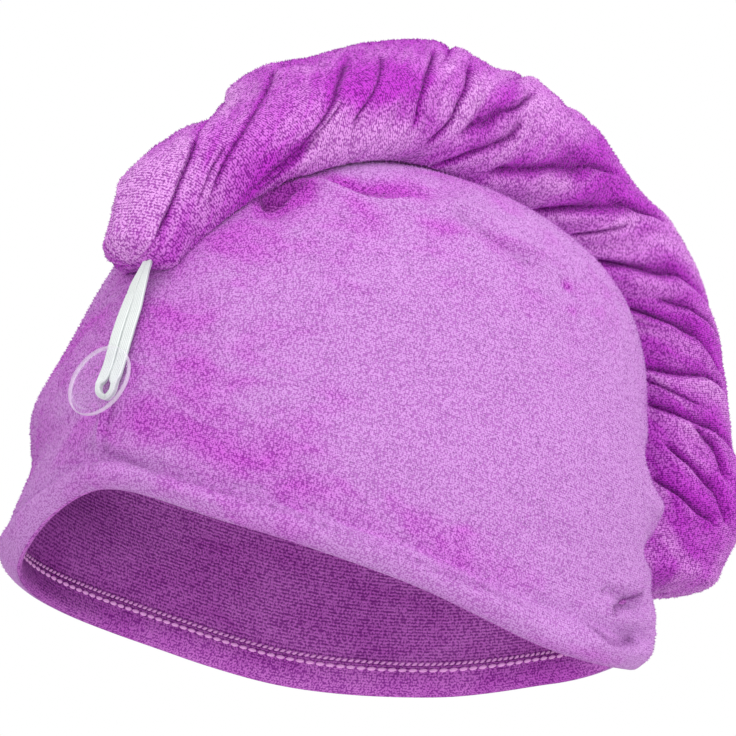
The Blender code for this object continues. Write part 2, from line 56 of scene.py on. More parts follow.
# %% Camera
MM = 0.001
AROUND, ABOVE, ROLL = math.radians(225), math.radians(-10), math.radians(9)
FAR = 1.1                       # metres from the middle of the opening
PIXELS, PIXELS_PER_MM = 736, 3.3
OPENING_PIXEL = (338.5, 624.9)  # where the middle of the opening lies in the picture
SEAT_HEIGHT = 137.5             # rim plane to the crown's resting point, mm


def into_scene(name, data):
    """A new object in the scene."""
    made = bpy.data.objects.new(name, data)
    bpy.context.scene.collection.objects.link(made)
    return made


back = Vector((math.sin(AROUND) * math.cos(ABOVE), -math.cos(AROUND) * math.cos(ABOVE),
               math.sin(ABOVE)))
level = Vector((math.cos(AROUND), math.sin(AROUND), 0.0))
upright = back.cross(level)
across = level * math.cos(ROLL) + upright * math.sin(ROLL)
upward = upright * math.cos(ROLL) - level * math.sin(ROLL)
focal = PIXELS_PER_MM / MM * FAR      # in pixels
lens = bpy.data.cameras.new("camera")
lens.sensor_width = 36.0
lens.lens = focal * lens.sensor_width / PIXELS
lens.clip_start = 0.05
camera = into_scene("camera", lens)
aside = (PIXELS / 2 - OPENING_PIXEL[0]) / focal
above = (OPENING_PIXEL[1] - PIXELS / 2) / focal
away = (back - aside * across - above * upward).normalized()
sideways = upward.cross(away).normalized()
pose = Matrix((sideways, away.cross(sideways), away)).transposed().to_4x4()
pose.translation = Vector((0, 0, -SEAT_HEIGHT * MM)) + back * FAR
camera.matrix_world = pose
bpy.context.scene.camera = camera
print("lens", round(lens.lens, 1), "mm")

# %% [markdown]
# ## Helpers for smooth rules
# Cloth is drawn here with rules: tables of a few given shares, made smooth.
# A Catmull-Rom curve passes through every row of a table, which a Bezier curve
# wouldn't. Folds need irregularity as well, so a small lattice of random numbers
# with a fixed seed gives the same soft noise on every run.

# %% Smooth tables and soft noise
def smooth_rows(rows, share):
    """Values at a share 0 to 1 of the way down a table, on a smooth curve through its rows."""
    rows = np.asarray(rows, float)
    last = len(rows) - 1
    spot = np.clip(np.asarray(share, float), 0.0, 1.0) * last
    index = np.minimum(spot.astype(int), last - 1)
    part = (spot - index)[..., None] if rows.ndim > 1 else spot - index
    ends = np.concatenate([[2 * rows[0] - rows[1]], rows, [2 * rows[-1] - rows[-2]]])
    before, here, there, after = (ends[index + k] for k in range(4))
    slope = (there - before) * part
    bend = (2 * before - 5 * here + 4 * there - after) * part ** 2
    twist = (3 * here - before - 3 * there + after) * part ** 3
    return 0.5 * (2 * here + slope + bend + twist)


def bump(distance):
    """A smooth hill: 1 in the middle, fading out past 1."""
    return np.exp(-2.0 * distance ** 2)


def ease(part):
    """A share from 0 to 1 that starts and ends gently."""
    return part * part * (3 - 2 * part)


def signed_power(number, power):
    """A power that keeps the sign, for rounded sections."""
    return np.sign(number) * np.abs(number) ** power


def unit(vectors):
    """Vectors made one long."""
    return vectors / np.linalg.norm(vectors, axis=-1, keepdims=True)


def length_up_to(points):
    """Length up to each point of a line, or up to each of a row of rings."""
    steps = np.linalg.norm(np.diff(points, axis=0), axis=-1)
    return np.concatenate([[0.0], np.cumsum(steps.reshape(len(steps), -1).mean(axis=1))])


def hills(angle, height, table, narrow=1.0):
    """Sum of hills. Rows: degrees, height, reach round in degrees, reach up, amount."""
    total = np.zeros(np.broadcast(angle, height).shape)
    for degrees, middle, reach_round, reach_up, amount in table:
        aside = np.mod(angle - math.radians(degrees) + math.pi, 2 * math.pi) - math.pi
        far = np.hypot(aside / math.radians(reach_round), (height - middle) / reach_up)
        total += amount * bump(narrow * far)
    return total


def soft_noise(x, y, seed, cells=64):
    """Smooth noise from -1 to 1 that repeats after a number of cells each way."""
    lattice = np.random.default_rng(seed).uniform(-1, 1, (cells, cells))
    x0, y0 = np.floor(x), np.floor(y)
    fx, fy = ease(x - x0), ease(y - y0)
    i, j = np.mod(x0.astype(int), cells), np.mod(y0.astype(int), cells)
    i1, j1 = (i + 1) % cells, (j + 1) % cells
    low = lattice[i, j] * (1 - fx) + lattice[i1, j] * fx
    high = lattice[i, j1] * (1 - fx) + lattice[i1, j1] * fx
    return low * (1 - fy) + high * fy


print("noise sample", round(float(soft_noise(np.array([0.3]), np.array([0.6]), 1)[0]), 4))

# %% [markdown]
# ## A skin from rings
# Both cloth pieces are closed skins through rings of points: the hood's rings run
# up its inner face, round the lip and up its outer face, the tail's rings follow
# its length. Rings keep the grid even, which makes folds and fabric patterns easy
# to place. The UV map holds millimetres of cloth, so a weave keeps its real size.

# %% Skin builder
def grid(rows, columns):
    """Row and column numbers of a grid's cells, one after the other."""
    return [part.ravel() for part in np.meshgrid(np.arange(rows), np.arange(columns),
                                                 indexing="ij")]


def mesh_piece(name, points, faces, uv, marks):
    """A smooth mesh object through points in millimetres up from the rim plane.

    uv holds millimetres of cloth for each corner of the faces. Each of marks is
    stored as a number on the points.
    """
    mesh = bpy.data.meshes.new(name)
    mesh.from_pydata((points - (0.0, 0.0, SEAT_HEIGHT)) * MM, [], faces)
    mesh.uv_layers.new(name="cloth").data.foreach_set("uv", uv.ravel())
    for mark, numbers in marks.items():
        kept = mesh.attributes.new(mark, "FLOAT", "POINT")
        kept.data.foreach_set("value", numbers.astype(np.float32))
    shape = bmesh.new()
    shape.from_mesh(mesh)
    bmesh.ops.recalc_face_normals(shape, faces=shape.faces)
    shape.to_mesh(mesh)
    shape.free()
    mesh.shade_smooth()
    print(name, len(mesh.polygons), "faces")
    return into_scene(name, mesh)


def skin(name, rings, first_pole, last_pole, around, cloth_round, cloth_along, marks):
    """A closed piece through rings of points, with a pole at each end.

    around holds each column's share of the way round, cloth_round the cloth's
    length round and cloth_along its length up to each ring, in millimetres.
    """
    rows, columns = rings.shape[:2]
    points = np.concatenate([rings.reshape(-1, 3), [first_pole, last_pole]])
    row, column = grid(rows - 1, columns)
    after = (column + 1) % columns
    quads = np.stack([row * columns + column, (row + 1) * columns + column,
                      (row + 1) * columns + after, row * columns + after], 1)
    k = np.arange(columns)
    first = np.stack([k, (k + 1) % columns, np.full(columns, len(points) - 2)], 1)
    top = (rows - 1) * columns
    last = np.stack([top + (k + 1) % columns, top + k, np.full(columns, len(points) - 1)], 1)
    around = np.append(around, 1.0)
    middle = 0.5 * (around[k] + around[k + 1])
    u = np.concatenate([around[np.stack([column, column, column + 1, column + 1], 1)].ravel(),
                        np.stack([around[k], around[k + 1], middle], 1).ravel(),
                        np.stack([around[k + 1], around[k], middle], 1).ravel()])
    v = np.concatenate([cloth_along[np.stack([row, row + 1, row + 1, row], 1)].ravel(),
                        np.full(3 * columns, cloth_along[0]),
                        np.full(3 * columns, cloth_along[-1])])
    for mark, numbers in marks.items():
        numbers = np.broadcast_to(numbers, (rows, columns))
        marks[mark] = np.concatenate([numbers.ravel(), [numbers[0].mean(), numbers[-1].mean()]])
    return mesh_piece(name, points, quads.tolist() + first.tolist() + last.tolist(),
                      np.stack([u * cloth_round, v], 1), marks)


# %% [markdown]
# ## The hood's shape
# The hood is a bowl whose level sections are rounded ellipses, longer to the back
# than to the front. Its rim rises and falls a little, as cut cloth does. Dents and
# folds are soft hills and hollows, each at an angle from the nape and a share of
# the height. A crease is a line on the cloth laid flat: a groove with a swell on
# either side. Sculpting by hand could do this too, but a rule can be repeated.

# %% Hood sizes and tables
HALF_WIDTH, FRONT_LENGTH, BACK_LENGTH, HOOD_HEIGHT = 84.0, 99.5, 104.5, 139.0
RIM_WAVE, CLOTH, HEM_TALL, HEM_THICK, DENT_DEPTH = 15.0, 3.0, 9.5, 7.5, 4.0
SEAM_RISE, SEAM_WIDE, SEAM_TOP = 0.9, 4.0, 0.49 * HOOD_HEIGHT
BACK_POWER, FRONT_POWER = 1.95, 2.15
HOOD_LEVELS = [
    # height, width, front, back
    (0, 1, 1, 1),
    (0.12, 0.985, 0.975, 1.01),
    (0.28, 0.98, 0.945, 1.01),
    (0.48, 0.935, 0.91, 0.97),
    (0.665, 0.865, 0.86, 0.875),
    (0.82, 0.75, 0.755, 0.715),
    (0.93, 0.54, 0.55, 0.495),
    (0.985, 0.28, 0.29, 0.25),
    (1, 0, 0, 0),
]
RIM_HEIGHTS = [0.95, 0.47, -0.03, -0.53, -0.16, 0.58, 0.27, -0.22, -0.49, -0.37, -0.30, 0.03]
HEM_SECTION = [
    # height, outward
    (1.45, -0.19),
    (1.12, -0.19),
    (0.95, -0.36),
    (0.6, -0.48),
    (0.22, -0.36),
    (0.02, -0.05),
    (0.12, 0.32),
    (0.48, 0.56),
    (0.86, 0.42),
    (1.1, 0.12),
    (1.45, 0.19),
]
HOOD_DENTS = [
    # degrees, height, reach round, reach up, depth
    (21.5, 0.75, 7, 0.045, 1.1),
    (24, 0.815, 7, 0.03, -0.45),
    (41, 0.862, 14, 0.03, 0.7),
    (40, 0.812, 17, 0.026, -0.5),
    (66, 0.835, 10, 0.022, -0.35),
    (80, 0.788, 10, 0.022, -0.35),
    (91, 0.735, 5, 0.025, 0.3),
    (114, 0.14, 11, 0.018, 0.75),
    (113, 0.103, 12, 0.025, -0.4),
    (113, 0.065, 11, 0.015, 0.5),
    (136, 0.465, 16, 0.055, 1.1),
    (134, 0.365, 13, 0.045, -0.75),
    (137, 0.262, 16, 0.04, 1.5),
    (137, 0.108, 20, 0.06, -0.5),
    (136, 0.076, 14, 0.016, -0.55),
    (-52, 0.065, 34, 0.1, -2),
    (-20, 0.206, 20, 0.04, 0.2),
    (-45, 0.15, 30, 0.08, -0.55),
    (-55, 0.33, 40, 0.15, -1.95),
    (-48, 0.64, 26, 0.11, 0.7),
    (62, 0.42, 30, 0.16, 0.2),
    (-120, 0.4, 22, 0.16, 0.4),
    (165, 0.24, 14, 0.1, 0.5),
    (-160, 0.2, 12, 0.08, 0.4),
    (140, 0.56, 26, 0.12, 0.45),
    (140, -0.01, 22, 0.08, 1.3),
]
HOOD_CREASES = [
    # depth, width, swell below, swell above, reach, softness, points as (degrees, height)
    (0, 1, 1.9, -5.2, 5.5, 0.7, [(15.5, .795), (17, .772), (19, .758), (21.5, .767), (24.5, .792),
     (27.5, .828)]),
    (0, 1, 2, -3.4, 7.5, 1.5, [(28, .85), (30.5, .833), (34.5, .817), (40.5, .803), (46, .806),
     (51.5, .826), (58, .836)]),
    (1.9, 1.1, -0.2, 1.4, 5, 0.8, [(104, .104), (107.6, .12), (112.5, .133), (116, .147),
     (119.5, .158), (123, .169)]),
    (1.9, 1.1, 0.8, 0.7, 4.5, 0.8, [(95, .07), (99.7, .063), (101.3, .057), (103.6, .049),
     (106, .047), (109, .05), (113, .056), (117, .064), (120, .074)]),
    (1.1, 1.8, 0.2, 0.4, 7, 2, [(-12, .1), (-2, .11), (6, .085), (14, .067), (33.5, .061),
     (59.5, .045), (78, .054), (92, .059)]),
    (0.8, 0.8, 0.2, 0.2, 3, 1, [(-0.5, 0), (1.5, .1), (3, .25), (3, .4), (-1, .6)]),
    (-0.9, 3, 0, 0, 6, 2, [(60, .855), (63.5, .845), (70, .822), (77, .787), (92, .745)]),
    (0.7, 2.6, 0, 0, 6, 2, [(60, .825), (63.5, .809), (72, .777), (86, .73)]),
    (0.7, 0.6, 0, 0.3, 1.4, 0.5, [(102, .138), (103.4, .15), (104.8, .166)]),
    (0.8, 0.6, 0, 0.4, 1.4, 0.5, [(104.8, .138), (106, .151), (107.2, .166)]),
    (0.8, 0.6, 0, 0.4, 1.4, 0.5, [(108, .146), (108.6, .156), (109.2, .168)]),
    (0.7, 0.6, 0, 0.3, 1.4, 0.5, [(110.6, .152), (111.4, .164), (112.2, .178)]),
    (0.6, 0.6, 0, 0.3, 1.4, 0.5, [(113.2, .162), (114.6, .173), (116, .186)]),
]
print(len(HOOD_DENTS), "dents and", len(HOOD_CREASES), "creases in the hood")

# %% Hood rules
LINE_STEPS = 90                 # points along each crease's line
TABLE_STEPS = 400               # steps in which a rule is looked up backwards
LINE_FADE = 0.2                 # share of a crease in which it fades in and out
DARK_DEPTH = 1.8                # depth in millimetres from which a crease is fully dark


def rim_height(angle):
    """Height of the wavy rim, in millimetres."""
    rows = np.array([RIM_HEIGHTS[-1]] + RIM_HEIGHTS + RIM_HEIGHTS[:2])
    turns = np.mod(angle / (2 * math.pi), 1.0)
    return RIM_WAVE * smooth_rows(rows, (1.0 + turns * len(RIM_HEIGHTS)) / (len(rows) - 1))


def hood_relief(angle, height):
    """Dents and folds of the cloth, outward, at a height that is a share of the hood's."""
    return -DENT_DEPTH * hills(angle, height, HOOD_DENTS)


def hood_middle(angle, share):
    """Centre line of the hood's cloth. Angle 0 is the nape and 90 degrees the wearer's right."""
    height, wide, front, rear = np.moveaxis(smooth_rows(HOOD_LEVELS, share), -1, 0)
    to_back = np.cos(angle) > 0
    length = np.where(to_back, rear * BACK_LENGTH, front * FRONT_LENGTH)
    power = 2.0 / np.where(to_back, BACK_POWER, FRONT_POWER)
    height = np.clip(height, 0.0, 1.0)
    x = -wide * HALF_WIDTH * signed_power(np.sin(angle), power)
    y = length * signed_power(np.cos(angle), power)
    z = height * HOOD_HEIGHT + (1 - height) ** 2 * rim_height(angle)
    return np.stack([x, y, z + 0 * x], -1)


def hood_normal(angle, share):
    """Outward direction of the hood's cloth."""
    step = 1e-3
    low = np.clip(share - step, 0.0, 1.0 - 8 * step)
    high = low + 2 * step
    along = hood_middle(angle, high) - hood_middle(angle, low)
    middle = 0.5 * (low + high)
    around = hood_middle(angle + step, middle) - hood_middle(angle - step, middle)
    return unit(np.cross(around, along))


def seam_rise(x, y, z):
    """Height of the nape seam above the cloth."""
    fade = np.clip((SEAM_TOP - z) / SEAM_WIDE, 0.0, 1.0)
    return SEAM_RISE * bump(2 * x / SEAM_WIDE) * (y > 0) * fade


def share_at_height(height):
    """How far up the table of levels a share of the hood's height lies."""
    table = np.linspace(0.0, 1.0, TABLE_STEPS)
    return np.interp(height, smooth_rows(HOOD_LEVELS, table)[:, 0], table)


def slack(angle, height):
    """Small irregular waves of cloth that isn't stretched tight, in millimetres."""
    turns = angle / (2 * math.pi)
    broad = 0.55 * soft_noise(turns * 16, height * 5.0, 3, 16)
    small = 0.22 * soft_noise(turns * 32 + 3 * height, height * 13.0, 4, 32)
    tiny = 0.07 * soft_noise(turns * 64, height * 40.0, 5, 64)
    return (broad + small + tiny) * np.clip((1 - height) / 0.1, 0, 1)


def cloth_place(degrees, height):
    """Where an angle and a height lie on the hood's cloth laid flat, in millimetres."""
    table = np.linspace(0.0, 1.0, 120)
    path = hood_middle(np.full(120, math.radians(60)), share_at_height(table))
    radius = np.hypot(path[:, 0], path[:, 1])
    up = np.interp(height, table, length_up_to(path))
    return np.radians(degrees) * np.interp(height, table, radius), up


def line_relief(x, y, lines, period=None):
    """Offset of the cloth by creases along lines, and the shade painted on each point near them, 0
    to 1.

    x and y are places on the cloth laid flat, in millimetres. With a period, x
    starts again after it, as round a tube.
    """
    offset, painted_shade = np.zeros(x.shape), np.zeros(x.shape)
    for depth, width, lower, upper, reach, soft, line_x, line_y in lines:
        near_x = x
        if period:
            middle = line_x.mean()
            near_x = np.mod(x - middle + period / 2, period) - period / 2 + middle
        low_x, high_x = line_x.min() - 3 * reach, line_x.max() + 3 * reach
        low_y, high_y = line_y.min() - 3 * reach, line_y.max() + 3 * reach
        here = np.nonzero((near_x > low_x) & (near_x < high_x) & (y > low_y) & (y < high_y))
        off_x = near_x[here][:, None] - line_x
        off_y = y[here][:, None] - line_y
        nearest = np.argmin(off_x ** 2 + off_y ** 2, axis=1)
        pick = np.arange(len(nearest)), nearest
        along_x, along_y = np.gradient(line_x)[nearest], np.gradient(line_y)[nearest]
        side = np.sign(along_x * off_y[pick] - along_y * off_x[pick])
        far = side * np.hypot(off_x[pick], off_y[pick])
        to_end = np.minimum(nearest, LINE_STEPS - 1 - nearest)
        ends = ease(np.clip(to_end / (LINE_FADE * LINE_STEPS), 0, 1))
        swell = lower + (upper - lower) * (0.5 + 0.5 * np.tanh(far / soft))
        swell = swell * np.exp(-(np.abs(far) / reach) ** 1.6)
        offset[here] += ends * (swell - depth * np.exp(-np.abs(far) / width))
        # Painted shade: the colour darkens along a crease's line, fully where the crease is
        # DARK_DEPTH deep.
        shade = min(1.0, depth / DARK_DEPTH) * np.exp(-np.abs(far) / min(0.8 * width, 1.0))
        painted_shade[here] = np.maximum(painted_shade[here], ends * shade)
    return offset, painted_shade


def traced(table, place):
    """A table's creases as lines on the flat cloth, on which place puts their points."""
    lines = []
    for *form, points in table:
        line = smooth_rows(points, np.linspace(0.0, 1.0, LINE_STEPS))
        lines.append((*form, *place(line[:, 0], line[:, 1])))
    return lines


def crease_relief(angle, height):
    """What line_relief says of the hood's creases."""
    degrees = np.degrees(np.mod(angle + math.pi, 2 * math.pi) - math.pi)
    return line_relief(*cloth_place(degrees, height), traced(HOOD_CREASES, cloth_place))


def hood_face(angle, share, side):
    """Outer face of the cloth where side is 1, inner face where it is -1."""
    middle = hood_middle(angle, share)
    height = np.clip(smooth_rows(HOOD_LEVELS, share)[..., 0], 0.0, 1.0)
    offset = side * CLOTH / 2 + hood_relief(angle, height) + slack(angle, height)
    if side > 0:
        offset = offset + seam_rise(*np.moveaxis(middle, -1, 0))
        offset = offset + crease_relief(angle, height)[0]
    return middle + offset[..., None] * hood_normal(angle, share)


# %% [markdown]
# ## The hood as a mesh
# A bonnet is two layers only at its turned hem, which is puffy because the pile is
# rolled in. Solidify would give the wall its thickness, but not the fuller hem, so
# the skin is run through a given section of the hem instead.

# %% Hood mesh
HOOD_COLUMNS, INNER_ROWS, HEM_ROWS, OUTER_ROWS = 420, 28, 32, 160
CLOTH_ROUND = 560.0             # millimetres of cloth round the hood, for its UV map
DENSEST, CROWDING = math.radians(72), 0.42      # where the columns crowd, and how much
even = np.linspace(0.0, 2 * math.pi, HOOD_COLUMNS, endpoint=False)
turns = even - CROWDING * (np.sin(even - DENSEST) + math.sin(DENSEST))
HEM_PASSES, PUFF = 1.75, 0.07   # hem heights at which the wall takes over, unevenness of the hem
hem_top = float(share_at_height(HEM_PASSES * HEM_TALL / HOOD_HEIGHT))


def hem_ring(height, outward):
    """A ring of the turned hem, at a height and a way outward that are shares of its sizes."""
    level_share = np.full(HOOD_COLUMNS, height * HEM_TALL / HOOD_HEIGHT)
    share = share_at_height(level_share)
    normal = hood_normal(turns, share)
    normal[:, 2] = 0.0
    puff = soft_noise(turns / (2 * math.pi) * 32, 3.0 * outward + 0 * turns, 8, 32)
    offset = outward * HEM_THICK + hood_relief(turns, level_share) + slack(turns, level_share)
    offset = offset + PUFF * HEM_THICK * puff * min(1.0, abs(outward) * 3)
    if outward > 0:
        offset = offset + crease_relief(turns, level_share)[0]
    return hood_middle(turns, share) + offset[:, None] * normal


inner_shares = hem_top + (1 - hem_top) * np.linspace(0, 1, INNER_ROWS + 1)[-2::-1]
outer_shares = hem_top + (1 - hem_top) * np.linspace(0, 1, OUTER_ROWS + 1)[:-1]
hem_places = [smooth_rows(HEM_SECTION, s) for s in np.linspace(0, 1, HEM_ROWS)]
hood_rings = np.concatenate([hood_face(*np.meshgrid(turns, inner_shares), -1),
                             [hem_ring(*place) for place in hem_places],
                             hood_face(*np.meshgrid(turns, outer_shares), 1)])
hood_angle = np.broadcast_to(turns, hood_rings.shape[:2])
hood_level = np.concatenate([smooth_rows(HOOD_LEVELS, inner_shares)[:, 0],
                             [place[0] * HEM_TALL / HOOD_HEIGHT for place in hem_places],
                             smooth_rows(HOOD_LEVELS, outer_shares)[:, 0]])
hood_level = np.broadcast_to(hood_level[:, None], hood_rings.shape[:2])
ring_number = np.arange(len(hood_rings))[:, None]
outer_side = ring_number > INNER_ROWS + HEM_ROWS // 2

# %% [markdown]
# ## Where the pile leans, and where shade and sheen are painted
# A hand that strokes plush leaves patches where the pile leans away and looks deeper
# in colour. They aren't part of the shape, so each point of the mesh stores a number
# for them, which the material reads. The places are listed one by one.
# Some of these numbers are painted light rather than lean: strong patches deepen the colour as
# painted shade in the pocket under the tail and the fold beside it, and the hood is deeper near the
# nape and lighter towards the wearer's right as a painted sheen.

# %% Pile patches of the hood
HOOD_LEAN_AND_LIGHT_PATCHES = [
    # degrees, height, reach round, reach up, amount
    (12, 0.4, 16, 0.2, 0.55),
    (4, 0.18, 14, 0.09, 0.6),
    (14, 0.64, 10, 0.08, 0.4),
    (30, 0.74, 16, 0.05, 0.45),
    (40, 0.35, 18, 0.1, -0.3),
    (34, 0.14, 20, 0.05, 0.35),
    # painted shade: deeper colour in the pocket under the tail and in the fold beside it
    (23, 0.79, 7, 0.034, 2.4),
    (40, 0.85, 13, 0.028, 2.1),
    (98, 0.3, 40, 0.28, -0.75),
    (60, 0.52, 26, 0.22, -0.6),
    (104, 0.56, 26, 0.16, -0.35),
    (8, 0.06, 30, 0.04, -0.2),
    (60, 0.08, 30, 0.04, 0.35),
    (90, 0.11, 14, 0.03, 0.35),
    (96, 0.01, 20, 0.016, 0.55),
    (118, 0.06, 16, 0.06, -0.6),
    (76, 0.82, 22, 0.04, -0.35),
    (68, 0.775, 18, 0.018, 0.55),
    (91.5, 0.743, 1.7, 0.013, 1.2),
    (91.5, 0.685, 1.6, 0.012, 0.8),
    (64.5, 0.51, 1.8, 0.012, 0.6),
    (-25, 0.45, 20, 0.16, 0.35),
    (-70, 0.3, 24, 0.14, -0.4),
    (-110, 0.55, 26, 0.16, 0.4),
    (-150, 0.25, 22, 0.12, -0.35),
    (170, 0.4, 20, 0.16, 0.35),
]
CREASE_SHADES = [(19.0, 0.776, 3.6, 0.018, 1.00), (24.0, 0.800, 6.0, 0.026, 0.66),
                 (38.0, 0.842, 9.5, 0.022, 0.46)]
INNER_SHADE = (-56.0, 0.150, 26.0, 0.300, 0.55)
PATCH_NARROW = 0.8              # patches reach a little further than dents of the same row

# Painted shade on the hood: dark lines along the creases, darker patches in the pocket under the
# tail and the fold beside it (CREASE_SHADES), and a shaded patch inside on the far left
# (INNER_SHADE).
hood_painted_shade = crease_relief(hood_angle, hood_level)[1]
for shade in CREASE_SHADES:
    hood_painted_shade = np.maximum(hood_painted_shade, hills(hood_angle, hood_level, [shade], PATCH_NARROW))
inner_shade = hills(hood_angle, hood_level, [INNER_SHADE], PATCH_NARROW)
hood_painted_shade = np.maximum(hood_painted_shade * outer_side, inner_shade * (1 - outer_side))
plush_side = np.clip((ring_number - INNER_ROWS - 0.62 * HEM_ROWS) / 3.0, 0, 1)
patches = hills(hood_angle, hood_level, HOOD_LEAN_AND_LIGHT_PATCHES, PATCH_NARROW)
hood = skin("plush_hood", hood_rings, (0, 0, HOOD_HEIGHT - CLOTH / 2),
            (0, 0, HOOD_HEIGHT + CLOTH / 2), turns / (2 * math.pi), CLOTH_ROUND,
            length_up_to(hood_rings[:, ::10]),
            {"painted_shade": hood_painted_shade, "nap_and_painted_light": patches, "pile": plush_side, "rows": 1.0})

# %% [markdown]
# ## The twisted tail's shape
# The tail is the long end of the towel, wound like a rope and laid over the crown.
# Its section is round on top and pressed flat on the hood. The folds turn with the
# twist, so each groove is a line in two shares: the way along the tail and the
# turn round it. Sharp grooves with one steep side look like cloth lying on cloth.

# %% Tail sizes and tables
TAIL_WIDE, TAIL_THICK, TAIL_TURN, FOLD_DEPTH, FOLD_WIDE = 68.0, 62.0, 185.0, 6.0, 9.0
TIP_ROUND, ROOT_ROUND, SAG_POWER, GAP = 4.5, 9.0, 0.62, 0.3
TAIL_ROWS = [
    # way, lift, aside, width, thickness
    (0.278, 0.555, 0, 0.91, 0.93),
    (0.41, 0.57, 0, 1, 0.98),
    (0.56, 0.52, 0, 1, 1),
    (0.72, 0.435, 0, 0.98, 0.945),
    (0.88, 0.392, -0.02, 0.96, 0.94),
    (1.04, 0.33, -0.04, 0.96, 0.83),
    (1.18, 0.236, -0.04, 0.92, 0.64),
    (1.32, 0.145, -0.03, 0.76, 0.47),
    (1.44, 0.145, -0.01, 0.54, 0.44),
    (1.55, 0.13, 0.02, 0.37, 0.31),
]
TAIL_CREASES = [
    # depth, width, swell to the root and to the tip, reach, softness, points as (share, turn)
    (3.6, 1.2, -1.2, 2, 7, 0.8, [(.85, .445), (.872, .442), (.897, .441), (.927, .43), (.957, .419),
     (.985, .398), (1.02, .38)]),
    (2.6, 1.6, 0.6, -0.4, 7, 1.4, [(.715, .6), (.732, .592), (.767, .578), (.805, .567),
     (.84, .565), (.872, .561), (.9, .563), (.945, .566)]),
    (1.6, 1.1, 0.4, 0.5, 4, 1, [(.85, .54), (.875, .533), (.897, .527), (.922, .525), (.94, .523)]),
    (3.4, 1.5, 0.9, -0.6, 7, 1.2, [(.665, .75), (.684, .753), (.712, .755), (.732, .764),
     (.757, .767), (.782, .76), (.815, .728), (.852, .697), (.89, .67)]),
    (2.2, 1, 0.6, 1.1, 3.5, 0.8, [(.728, .79), (.739, .785), (.769, .775), (.802, .75),
     (.835, .727), (.87, .703)]),
    (1.8, 1.2, 0.5, 0.2, 5, 1.2, [(.65, .82), (.667, .836), (.692, .854), (.712, .857),
     (.735, .855)]),
    (2.8, 1.5, 0.8, -0.3, 7, 1.4, [(.585, .935), (.599, .945), (.619, .958), (.64, .985),
     (.655, 1.02)]),
    (3, 1.5, 0.8, -0.3, 7, 1.4, [(.545, 1.03), (.564, 1.053), (.586, 1.086), (.61, 1.09),
     (.632, 1.085)]),
    (3, 1.4, 0.9, -0.3, 7, 1.2, [(.465, .215), (.484, .208), (.506, .205), (.535, .175),
     (.559, .145), (.59, .13)]),
    (2.8, 1.3, 0.8, -0.2, 6, 1.2, [(.49, .25), (.511, .237), (.549, .205), (.579, .201),
     (.605, .2)]),
    (4.2, 1.3, 1.4, -0.8, 7.5, 1, [(.365, .48), (.383, .46), (.414, .424), (.44, .385),
     (.469, .348), (.506, .307), (.53, .29)]),
    (4, 1.3, 1.3, -0.7, 7, 1, [(.305, .58), (.321, .571), (.341, .565), (.371, .53), (.404, .506),
     (.434, .494), (.455, .49)]),
    (2, 1, 0.6, 0.2, 4, 1, [(.34, .588), (.356, .586), (.373, .588), (.39, .59)]),
    (3.8, 1.3, 1.3, -0.7, 7, 1, [(.255, .728), (.268, .721), (.286, .712), (.311, .694),
     (.338, .687), (.36, .684)]),
    (2, 1, 0.7, 0.2, 4.5, 1, [(.228, .765), (.241, .771), (.253, .783), (.266, .775), (.28, .765)]),
    (4, 1.3, 1.4, -0.7, 7, 1, [(.2, .845), (.216, .842), (.233, .836), (.248, .825), (.261, .827),
     (.276, .827), (.292, .825)]),
    (3.8, 1.2, 1.3, -0.7, 6.5, 1, [(.185, .855), (.193, .877), (.203, .908), (.208, .943),
     (.216, .986), (.224, 1.02)]),
    (2, 1, 0.6, 0.2, 4, 1, [(.172, .96), (.185, .983), (.198, 1.007), (.208, 1.03)]),
    (4, 1.3, 1.4, -0.7, 6.5, 1, [(.13, .94), (.145, .973), (.163, 1.018), (.173, 1.055),
     (.18, 1.09)]),
    (2.6, 1.1, 0.8, 0, 5, 1, [(.105, 1.065), (.12, 1.049), (.145, 1.029), (.16, 1.02)]),
    (3.8, 1.3, 1.3, -0.6, 6.5, 1, [(.05, .13), (.068, .123), (.095, .108), (.115, .105),
     (.128, .119), (.14, .13)]),
    (3.4, 1.3, 1.2, -0.4, 6, 1, [(.05, .158), (.065, .168), (.078, .176), (.09, .2), (.1, .225)]),
    (2.6, 1, 0.9, 0.9, 3.5, 0.8, [(.966, .95), (.96, .975), (.958, 1), (.96, 1.028), (.968, 1.06)]),
]
TAIL_FOLDS = [
    # from, to, turn there, turn here, depth, width
    (-0.05, 0.24, 0.43, 0.4, 0.9, 0.9),
    (-0.05, 0.28, 0.57, 0.53, 0.7, 0.8),
    (-0.04, 0.3, 0.7, 0.72, 0.85, 0.9),
    (0.08, 0.46, 0.28, 0.255, 0.85, 0.85),
    (0.16, 0.52, 0.12, 0.15, 0.9, 0.9),
    (0.28, 0.64, 0.99, 0.965, 0.75, 0.85),
    (0.4, 0.6, 0.65, 0.69, 0.8, 0.8),
    (0.55, 0.92, 0.47, 0.44, 0.85, 0.85),
    (0.56, 0.88, 0.35, 0.33, 0.7, 0.8),
    (0.74, 1.05, 0.2, 0.16, 0.6, 0.7),
    (0.78, 1.05, 0.12, 0.115, 0.8, 0.8),
    (0.82, 1.05, 0.97, 0.95, 0.7, 0.7),
]
TAIL_LUMPS = [
    # degrees, share, reach round, reach along, height
    (30, 0.345, 50, 0.042, -0.75),
    (45, 0.42, 35, 0.04, -0.45),
    (25, 0.49, 50, 0.05, -0.62),
    (54, 0.07, 50, 0.08, 0.85),
    (-35, 0.715, 45, 0.035, 0.6),
    (-50, 0.785, 45, 0.035, -0.5),
    (-38, 0.925, 45, 0.05, 0.32),
]
